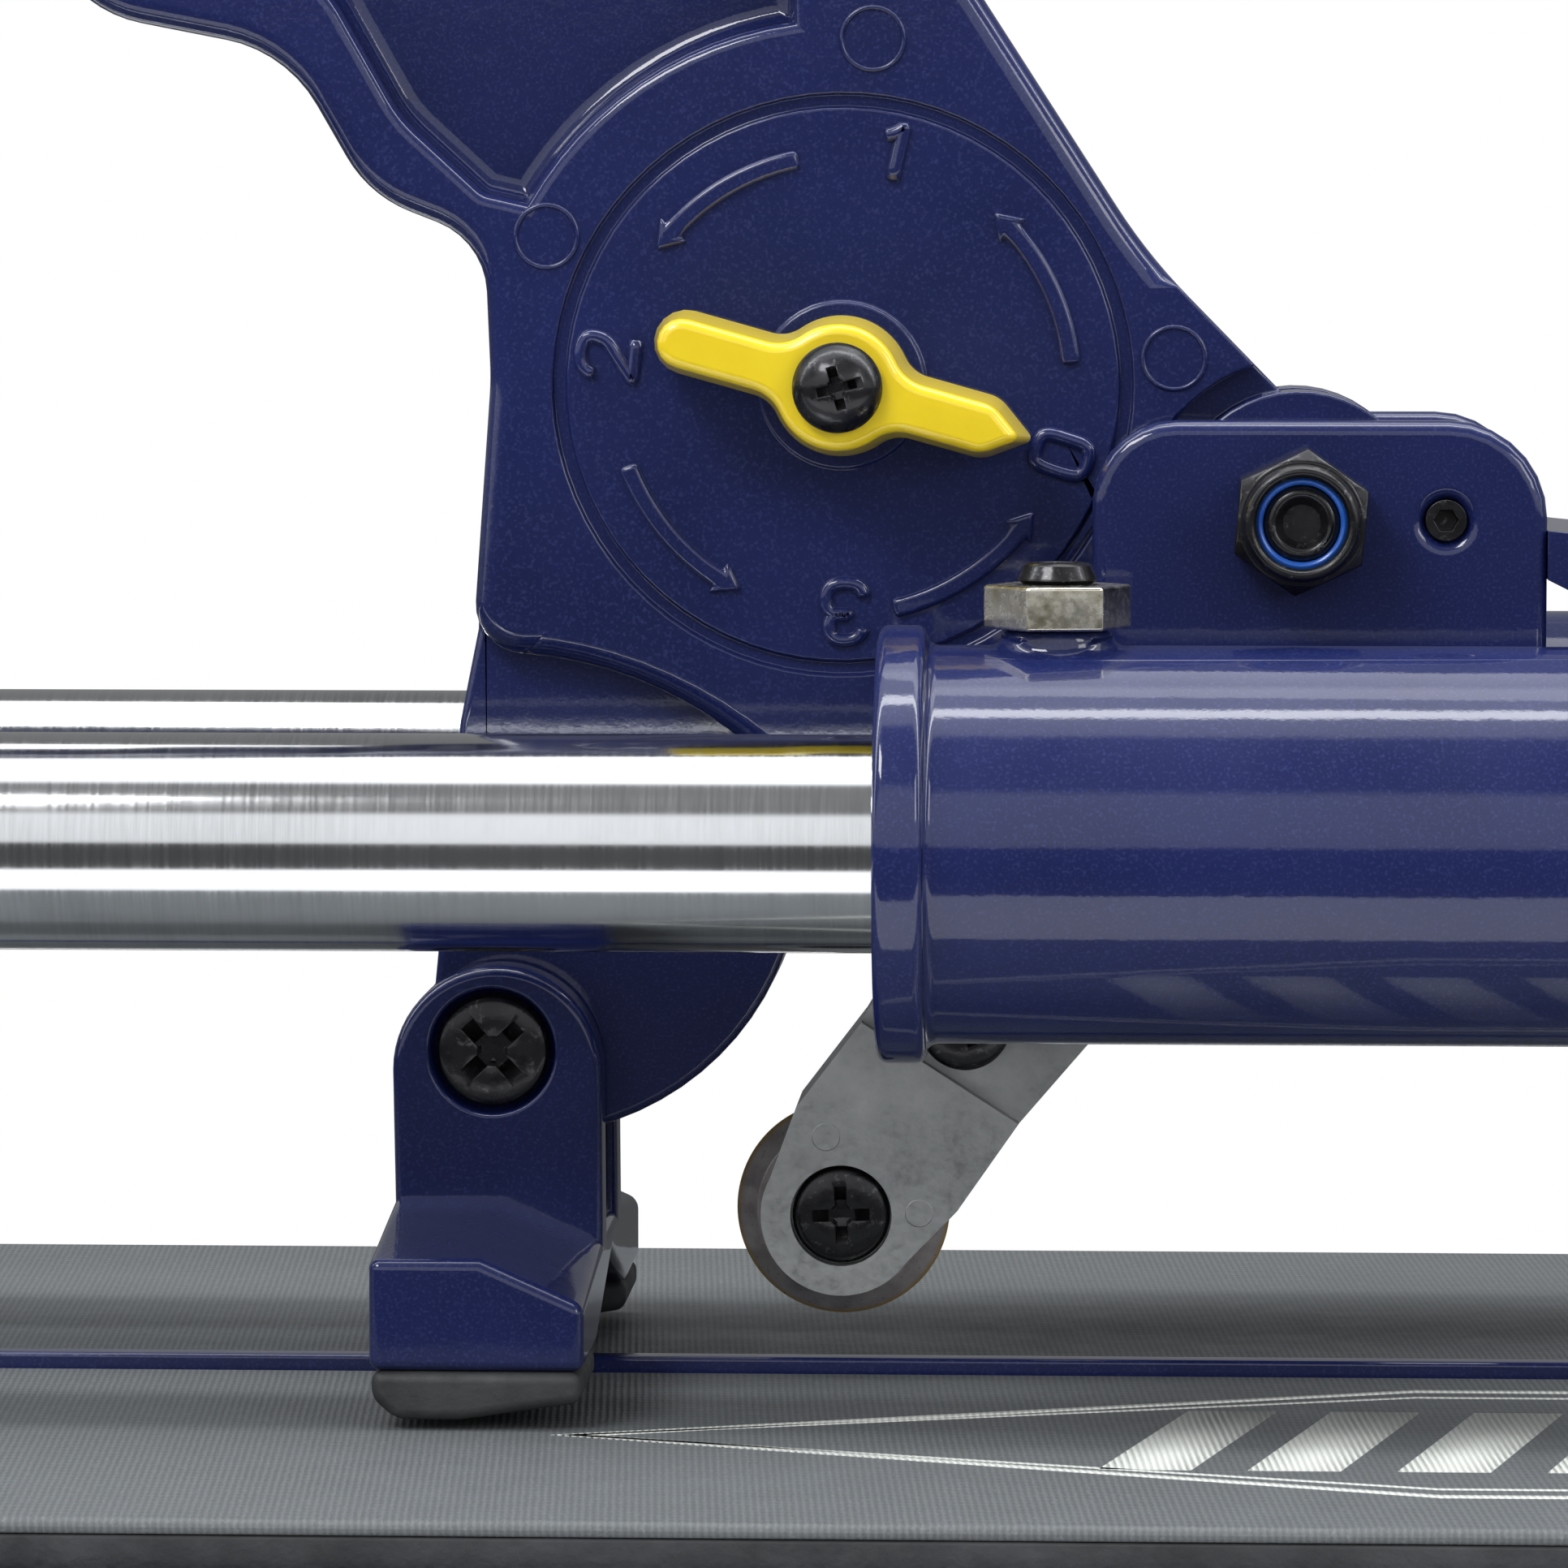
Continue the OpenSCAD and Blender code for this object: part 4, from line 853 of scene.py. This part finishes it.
@dataclass
class Handle:
    """Die-cast handle with its dial face, and the parts pressed into it."""

    grip_round: float = 2.4
    small_round: float = 0.9
    rim_round: float = 1.3
    pocket_fillet: float = 2.2
    clip_gap: float = 0.3
    mark_r: float = 23.6
    mark_h: float = 0.75
    stroke: float = 0.78
    arrow_w: float = 2.0
    ejector_r: float = 3.2
    ejectors: tuple = ((-43.8, 49.0), (-77.4, 28.8), (-12.8, 16.3))
    figures: tuple = (("0", -17.6, 23.7), ("1", 77.1, 24.4), ("2", 173.1, 24.2), ("3", 270.9, 23.4))
    arrows: tuple = ((5.2, 49.0), (101.0, 144.3), (200.5, 244.0), (282.8, 327.0))

    def __post_init__(self) -> None:
        """Reads the pivot, the dial's centre and the casting's faces from the frame."""
        self.pivot = centre_of("pivot_bolt")
        self.pivot.y = 0.0
        self.dial = centre_of("dial_shaft")
        self.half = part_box("shaft_clip")[0].y - self.clip_gap * MM

    def build(self) -> None:
        """Makes the casting, its raised marks and its hidden parts."""
        self.casting()
        self.marks()
        soften("pivot_bush", 0.15)
        soften("detent_plunger", 0.2)

    def casting(self) -> None:
        """Rounds each edge of the casting by its own amount: wide on the grip, small round the dial."""
        shape = node_copy("handle_casting")
        share = shape.edges.layers.float.new("bevel_weight_edge")
        for edge in shape.edges:
            edge[share] = self.rounding(edge) / self.grip_round
        piece = keep(shape, "handle_casting_part", "handle", "blue_enamel", ("handle_casting",))
        round_edges(piece, self.grip_round * MM, 5, weighted=True, clamp=False)

    def rounding(self, edge: bmesh.types.BMEdge) -> float:
        """Returns the rounding of one edge of the casting in millimetres.

        Args:
            edge: Edge of the merged copy.
        """
        if len(edge.link_faces) != 2 or edge.calc_face_angle(0.0) < math.radians(SHARP):
            return 0.0
        at = ((edge.verts[0].co + edge.verts[1].co) / 2 - self.pivot) / MM
        depth = abs(at.y) * MM
        walls = [face for face in edge.link_faces if abs(face.normal.y) < 0.5]
        inner = min((abs(v.co.y) for face in walls for v in face.verts), default=0.0)
        on_face = abs(depth - self.half) < 0.05 * MM
        if not edge.is_convex:
            return self.pocket_fillet if abs(depth - 6.0 * MM) < 0.1 * MM and at.x < -50 else 0.25
        if (Vector((at.x, 0.0, at.z)) - (self.dial - self.pivot) / MM * Vector((1, 0, 1))).length < 31 or at.x > -14:
            return 0.3
        if on_face and 5.5 * MM < inner < 6.5 * MM:
            return self.rim_round
        return self.grip_round if on_face else self.small_round

    def marks(self) -> None:
        """Raises the figures, arrows and ejector rings on the dial side of the casting."""
        shape = bmesh.new()
        for figure, angle, radius in self.figures:
            self.figure(shape, figure, angle, radius)
        for x, z in self.ejectors:
            centre = Vector((self.pivot.x + x * MM, -self.half, self.pivot.z + z * MM))
            r, h = self.ejector_r * MM, 0.32 * MM
            turned(shape, [(r - 0.32 * MM, 0.1 * MM), (r - 0.12 * MM, -h), (r + 0.12 * MM, -h),
                           (r + 0.32 * MM, 0.1 * MM)], centre, 48)
        keep(shape, "dial_marks", "handle", "blue_enamel")
        shape = bmesh.new()
        for first, last in self.arrows:
            self.arrow(shape, first, last)
        round_edges(keep(shape, "dial_arrows", "handle", "blue_enamel"), 0.55 * MM, 4, 30.0, clamp=False)

    def on_dial(self, radius: float, angle: float, turn: float = 0.0) -> Matrix:
        """Returns the place of a mark: its distance in millimetres and angle round the dial, and its own turn."""
        around = Matrix.Rotation(math.radians(angle), 4, "Z") @ Matrix.Translation((radius * MM, 0, 0))
        return (Matrix.Translation((self.dial.x, -self.half, self.dial.z)) @ TO_FRONT @ around
                @ Matrix.Rotation(math.radians(turn), 4, "Z"))

    def figure(self, shape: Shape, figure: str, angle: float, radius: float) -> None:
        """Adds one raised figure, drawn with a round stroke, with its top outwards.

        Args:
            shape: Mesh to add to.
            figure: Which figure.
            angle: Its place round the dial in degrees.
            radius: Its distance from the dial's centre in millimetres.
        """
        words = bpy.data.curves.new("figure", "CURVE")
        words.dimensions = "3D"
        words.bevel_depth = self.stroke * MM
        words.bevel_resolution = 3
        words.use_fill_caps = True
        path = STROKES[figure]
        line = words.splines.new("NURBS")
        line.points.add(len(path) - 1)
        for point, (x, y) in zip(line.points, path):
            point.co = (x * MM, y * MM, 0.0, 1.0)
        line.order_u = 3
        line.resolution_u = 6
        line.use_cyclic_u = figure == "0"
        line.use_endpoint_u = figure != "0"
        drawn = placed("figure", words)
        mesh = evaluated(drawn)
        mesh.transform(self.on_dial(radius, angle, -90.0))
        shape.from_mesh(mesh)
        bpy.data.objects.remove(drawn)
        bpy.data.meshes.remove(mesh)

    def arrow(self, shape: Shape, first: float, last: float) -> None:
        """Adds one raised arrow along an arc of the dial, from its tail to its tip, in degrees."""
        steps = 12
        neck = last - 6.5
        half = self.arrow_w / 2
        points = []
        for i in range(steps + 1):
            points.append((self.mark_r + half, first + (neck - first) * i / steps))
        points += [(self.mark_r + 2.0, neck - 0.8), (self.mark_r, last), (self.mark_r - 2.0, neck - 0.8)]
        for i in range(steps + 1):
            points.append((self.mark_r - half, neck + (first - neck) * i / steps))
        place = self.on_dial(0.0, 0.0)
        corners = [place @ Vector((*polar(r * MM, a), self.mark_h * MM)) for r, a in points]
        slab(shape, corners, (0.0, 2 * self.mark_h * MM, 0.0))


@dataclass
class Dial:
    """Pointer knob, its screw, shaft, cam and clip."""

    hub_r: float = 7.2
    arm_half: float = 3.3
    blend_r: float = 3.6
    tail: float = 19.8
    point: float = 20.6
    shoulder: float = 16.0
    turn: float = -15.7
    draft: float = 0.85
    crown: float = 1.2

    def build(self) -> None:
        """Makes the dial's pieces."""
        self.knob()
        CrossScrew("knob_screw", "dial", 2.6, 5.4, 14.0, False, 0.75).build()
        for node in ("dial_shaft", "depth_cam", "shaft_clip"):
            soften(node, 0.2)

    def quarter(self) -> list[tuple[float, float]]:
        """Returns the outline from the arm's upper edge round its fillet to the top of the hub."""
        reach = self.hub_r + self.blend_r
        x = math.sqrt(reach ** 2 - (self.arm_half + self.blend_r) ** 2)
        z = self.arm_half + self.blend_r
        end = math.degrees(math.atan2(-z, -x)) % 360
        bend = [polar(self.blend_r, 270 + (end - 270) * i / 8) for i in range(9)]
        fillet = [(x + bent_x, z + bent_z) for bent_x, bent_z in bend]
        top = math.degrees(math.atan2(z, x))
        hub = [polar(self.hub_r, top + (90 - top) * i / 10) for i in range(1, 11)]
        return fillet + hub

    def knob(self) -> None:
        """Moulds the knob: a hub blended into a pointed arm and a round-ended one, narrower towards the front."""
        low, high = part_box("dial_knob")
        axis = centre_of("dial_shaft")
        upper = self.quarter()
        tail = [(-self.tail + self.arm_half - self.arm_half * math.sin(math.radians(a)),
                 self.arm_half * math.cos(math.radians(a))) for a in range(0, 181, 20)]
        point = [(self.shoulder, -self.arm_half), (self.point, 0.0), (self.shoulder, self.arm_half)]
        outline = ([(x, z) for x, z in upper] + [(-x, z) for x, z in reversed(upper[:-1])] + tail
                   + [(-x, -z) for x, z in upper] + [(x, -z) for x, z in reversed(upper[:-1])] + point)
        turn = math.radians(self.turn)
        shape = bmesh.new()
        corners = [(axis.x + (x * math.cos(turn) - z * math.sin(turn)) * MM, high.y,
                    axis.z + (x * math.sin(turn) + z * math.cos(turn)) * MM) for x, z in outline]
        front = low.y + self.crown * MM
        cap = [f for f in slab(shape, corners, (0.0, front - high.y, 0.0)) if isinstance(f, bmesh.types.BMFace)]
        bmesh.ops.inset_region(shape, faces=cap, thickness=self.draft * MM, use_even_offset=True, depth=0.0)
        bmesh.ops.delete(shape, geom=[f for f in shape.faces if len(f.verts) == 4 and abs(f.normal.y) > 0.95
                                      and abs(f.calc_center_median().y - front) < 0.01 * MM], context="FACES_ONLY")
        inner = {v for f in cap for v in f.verts}
        rims = [e for e in shape.edges if e.is_boundary]
        outer = [v for e in rims for v in e.verts if v not in inner]
        bmesh.ops.translate(shape, verts=list(set(outer)), vec=(0.0, (high.y - front) * 0.8, 0.0))
        bmesh.ops.bridge_loops(shape, edges=rims)
        bmesh.ops.recalc_face_normals(shape, faces=shape.faces)
        piece = keep(shape, "dial_knob_part", "dial", "yellow_plastic", ("dial_knob",))
        round_edges(piece, 1.0 * MM, 5, 35.0, clamp=False)


@dataclass
class ScoringArm:
    """Arm, fork and scoring wheel."""

    step_round: float = 2.0
    edge_round: float = 0.4

    def build(self) -> None:
        """Makes the arm's pieces."""
        soften("scoring_arm", 0.4)
        soften("arm_bush", 0.15)
        self.fork()
        CrossScrew("fork_screw", "arm", 2.2, 5.0, 20.0).build()
        CrossScrew("axle_screw", "arm", 2.2, 6.6, 2.0).build()
        soften("scoring_wheel", 0.12)

    def fork(self) -> None:
        """Makes the cast fork: a sloping step from the cheeks to the tongue, and ejector marks."""
        shape = node_copy("wheel_fork")
        low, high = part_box("wheel_fork")
        share = shape.edges.layers.float.new("bevel_weight_edge")
        pivot, axle = centre_of("pivot_bolt"), centre_of("scoring_wheel")
        along = (axle - pivot).normalized()
        reach = (axle - pivot).length - 18.2 * MM
        for edge in shape.edges:
            if len(edge.link_faces) != 2 or edge.calc_face_angle(0.0) < math.radians(SHARP):
                continue
            mid = (edge.verts[0].co + edge.verts[1].co) / 2
            step = abs((mid - pivot).dot(along) - reach) < 0.2 * MM and abs(abs(mid.y) - high.y) < 0.05 * MM
            edge[share] = 1.0 if step else self.edge_round / self.step_round
        piece = keep(shape, "wheel_fork_part", "arm", "cast_zinc", ("wheel_fork",))
        round_edges(piece, self.step_round * MM, 4, weighted=True)
        across = Vector((-along.z, 0.0, along.x))
        marks = bmesh.new()
        for back, side in ((6.1, 5.8), (4.7, -6.7)):
            centre = axle - along * back * MM - across * side * MM
            centre.y = low.y
            turned(marks, mm((0.0, -0.06), (1.35, -0.1), (1.45, -0.1), (1.5, 0.1), (0.0, 0.1)), centre, 32)
        round_edges(keep(marks, "fork_marks", "arm", "cast_zinc"), 0.05 * MM, 2, 25.0)


@dataclass
class BreakingFoot:
    """Hinged foot, its soles and its pivot screw."""

    edge: float = 1.1
    ear_t: float = 6.75
    ear_reach: float = 14.5
    drop: float = 4.6
    break_x: float = 11.2
    end_fall: float = 2.9
    arch: float = 6.5
    recess_r: float = 6.5
    recess: float = 3.2
    height: float = 14.1
    half: float = 42.0
    root: float = 7.0

    def __post_init__(self) -> None:
        """Reads the foot's sides and its underside from the frame."""
        self.low, self.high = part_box("breaking_foot")
        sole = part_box("foot_sole_front")
        self.under, self.block_x = sole[1].z, sole[0].x - 0.2 * MM
        self.top = self.under + self.height * MM

    def build(self) -> None:
        """Makes the foot's pieces."""
        self.block()
        for side in (-1, 1):
            self.ear(side)
        for side in ("front", "rear"):
            soften("foot_sole_" + side, 1.2, 4, False)
        CrossScrew("foot_pin_screw", "foot", 2.8, 8.4, 43.0).build()

    def block(self) -> None:
        """Casts the block across the pads: its top falls to both ends and to the right, and its underside is arched."""
        near_ear = self.ear_reach / self.half
        stations = ((-1.0, 1.0, 0.0), (-0.55, 0.3, 0.0), (-near_ear, 0.0, 0.37), (0.0, 0.0, 1.0),
                    (near_ear, 0.0, 0.37), (0.55, 0.3, 0.0), (1.0, 1.0, 0.0))
        shape = bmesh.new()
        rings = []
        x0, x1 = self.block_x, self.high.x
        for reach, fall, lift in stations:
            y = self.high.y * reach
            top, floor = self.top - self.end_fall * fall * MM, self.under + self.arch * lift * MM
            outline = ((x0, floor), (x1, floor), (x1, top - self.drop * MM), (x0 + self.break_x * MM, top), (x0, top))
            rings.append([shape.verts.new((x, y, z)) for x, z in outline])
        for near, far in zip(rings, rings[1:]):
            for i in range(5):
                shape.faces.new((near[i], near[(i + 1) % 5], far[(i + 1) % 5], far[i]))
        shape.faces.new(rings[0])
        shape.faces.new(rings[-1])
        bmesh.ops.recalc_face_normals(shape, faces=shape.faces)
        piece = keep(shape, "breaking_foot_part", "foot", "blue_enamel", ("breaking_foot",))
        round_edges(piece, self.edge * MM, 4, 28.0, clamp=False)

    def ear(self, side: int) -> None:
        """Casts one ear; the front one is sunk for the screw's head.

        Args:
            side: -1 for the front ear and 1 for the rear one.
        """
        pin = centre_of("foot_pin_screw")
        middle = (self.low.x + self.high.x) / 2
        radius = (self.high.x - self.low.x) / 2 - 0.15 * MM
        arc = [(middle + x, self.high.z - radius + z) for x, z in (polar(radius, a) for a in range(0, 181, 6))]
        root = self.top - self.root * MM
        outline = arc + [(self.low.x + 0.5 * MM, root), (self.high.x, root)]
        shape = bmesh.new()
        y0 = side * self.ear_reach * MM if side < 0 else (self.ear_reach - self.ear_t) * MM
        slab(shape, [(x, y0, z) for x, z in outline], (0.0, self.ear_t * MM, 0.0))
        piece = keep(shape, "foot_ear_front" if side < 0 else "foot_ear_rear", "foot", "blue_enamel")
        round_edges(piece, self.edge * MM, 4, clamp=False)
        if side < 0:
            bake(piece)
            cutter = bmesh.new()
            r, deep = self.recess_r * MM, self.recess * MM
            turned(cutter, [(0.0, -1.0 * MM), (r + 1.3 * MM, -1.0 * MM), (r + 0.45 * MM, 0.0),
                            (r + 0.12 * MM, 0.25 * MM), (r, 0.7 * MM), (r, deep), (0.0, deep)],
                   Vector((pin.x, y0, pin.z)))
            carve(piece, cutter)
            even_shading(piece)


@dataclass
class Studio:
    """Floor, lights and camera."""

    camera_at: tuple = (-0.0166, -0.782, 0.1646)
    tilt: float = 4.28
    pan: float = 2.7
    roll: float = 0.0
    lens: float = 171.7
    floor_x: float = 0.6
    floor_y: float = 0.27
    sky_power: float = 12.0
    sky: tuple = ((0.0, 0.007), (0.012, 0.008), (0.02, 0.085), (0.18, 0.09), (0.205, 0.018), (0.375, 0.02),
                  (0.395, 0.14), (0.455, 0.15), (0.462, 1.0), (0.49, 1.0), (0.497, 0.15), (0.585, 0.13), (0.61, 0.015),
                  (1.0, 0.02))

    def build(self) -> None:
        """Sets the floor, the room's light, the lamps and the camera."""
        self.floor()
        self.room()
        self.lamp("key", (-0.55, -0.75, 0.95), (-0.03, 0.0, 0.12), (0.5, 0.3), 7.0)
        self.lamp("fill", (0.8, -0.7, 0.55), (0.05, 0.0, 0.08), (0.3, 0.4), 2.0)
        self.lamp("top", (0.1, 0.35, 1.2), (0.0, 0.1, 0.05), (1.2, 0.5), 4.0)
        self.camera()
        bpy.context.scene.view_settings.view_transform = "Standard"

    def floor(self) -> None:
        """Lays a plain pale oval floor."""
        shape = bmesh.new()
        below = Matrix.Translation((0, 0, -0.0004))
        bmesh.ops.create_circle(shape, cap_ends=True, segments=96, radius=1.0, matrix=below)
        bmesh.ops.scale(shape, verts=shape.verts, vec=(self.floor_x, self.floor_y, 1.0))
        mesh = bpy.data.meshes.new("floor")
        shape.to_mesh(mesh)
        shape.free()
        piece = placed("floor", mesh)
        mix = Recipe("pale floor", Roughness=0.7, Base_Color=(0.8, 0.8, 0.8), Specular_IOR_Level=0.1,
                     Emission_Color=(1.0, 1.0, 1.0), Emission_Strength=0.12)
        mesh.materials.append(mix.material)

    def room(self) -> None:
        """Lights the scene with a room whose brightness changes with the angle overhead; the camera sees it pale."""
        world = bpy.data.worlds.new("studio")
        bpy.context.scene.world = world
        world.use_nodes = True
        add, link = world.node_tree.nodes.new, world.node_tree.links.new
        parts, back, angle, share, ramp = (add("ShaderNode" + kind) for kind in
                                           ("SeparateXYZ", "Math", "Math", "Math", "ValToRGB"))
        link(add("ShaderNodeTexCoord").outputs["Generated"], parts.inputs[0])
        back.operation, angle.operation, share.operation = "MULTIPLY", "ARCTAN2", "DIVIDE"
        back.inputs[1].default_value = -1.0
        share.inputs[1].default_value = math.pi
        link(parts.outputs["Y"], back.inputs[0])
        link(parts.outputs["Z"], angle.inputs[0])
        link(back.outputs[0], angle.inputs[1])
        link(angle.outputs[0], share.inputs[0])
        link(share.outputs[0], ramp.inputs[0])
        stops = ramp.color_ramp.elements
        while len(stops) < len(self.sky):
            stops.new(0.5)
        for stop, (place_at, value) in zip(stops, self.sky):
            stop.position = place_at
            stop.color = (value * 0.97, value * 0.985, value, 1.0)
        mixed = add("ShaderNodeMix")
        mixed.data_type = "RGBA"
        link(add("ShaderNodeLightPath").outputs["Is Camera Ray"], mixed.inputs[0])
        link(ramp.outputs[0], mixed.inputs[MIX_LOW])
        mixed.inputs[MIX_HIGH].default_value = [1.0 / self.sky_power] * 3 + [1.0]
        light = world.node_tree.nodes["Background"]
        light.inputs["Strength"].default_value = self.sky_power
        link(mixed.outputs[MIX_OUT], light.inputs["Color"])

    def lamp(self, name: str, at: Sequence[float], aim: Sequence[float], size: tuple[float, float],
             watts: float) -> None:
        """Hangs a soft rectangular lamp at a point, turned to another."""
        light = bpy.data.lights.new(name, "AREA")
        light.shape = "RECTANGLE"
        light.size, light.size_y = size
        light.energy = watts
        hung = placed(name, light)
        hung.location = at
        hung.rotation_euler = (Vector(aim) - Vector(at)).to_track_quat("-Z", "Y").to_euler()
        hung.visible_camera = False

    def camera(self) -> None:
        """Stands the camera in front of the carriage."""
        seen = bpy.data.cameras.new("camera")
        seen.lens = self.lens
        seen.sensor_width = 36.0
        seen.clip_start = 0.01
        seen.clip_end = 50.0
        stand = placed("camera", seen)
        stand.location = self.camera_at
        turn = Matrix.Rotation(math.radians(self.pan), 4, "Z") @ Matrix.Rotation(math.radians(90 - self.tilt), 4, "X")
        stand.rotation_euler = (turn @ Matrix.Rotation(math.radians(self.roll), 4, "Z")).to_euler()
        bpy.context.scene.camera = stand


def main() -> None:
    """Builds every sub-assembly in order."""
    for assembly in (Base(), Rails(), FenceAndGuide(), Carriage(), Handle(), Dial(), ScoringArm(), BreakingFoot()):
        log.info("-- %s", type(assembly).__name__)
        assembly.build()
    Studio().build()


if __name__ == "__main__":
    main()
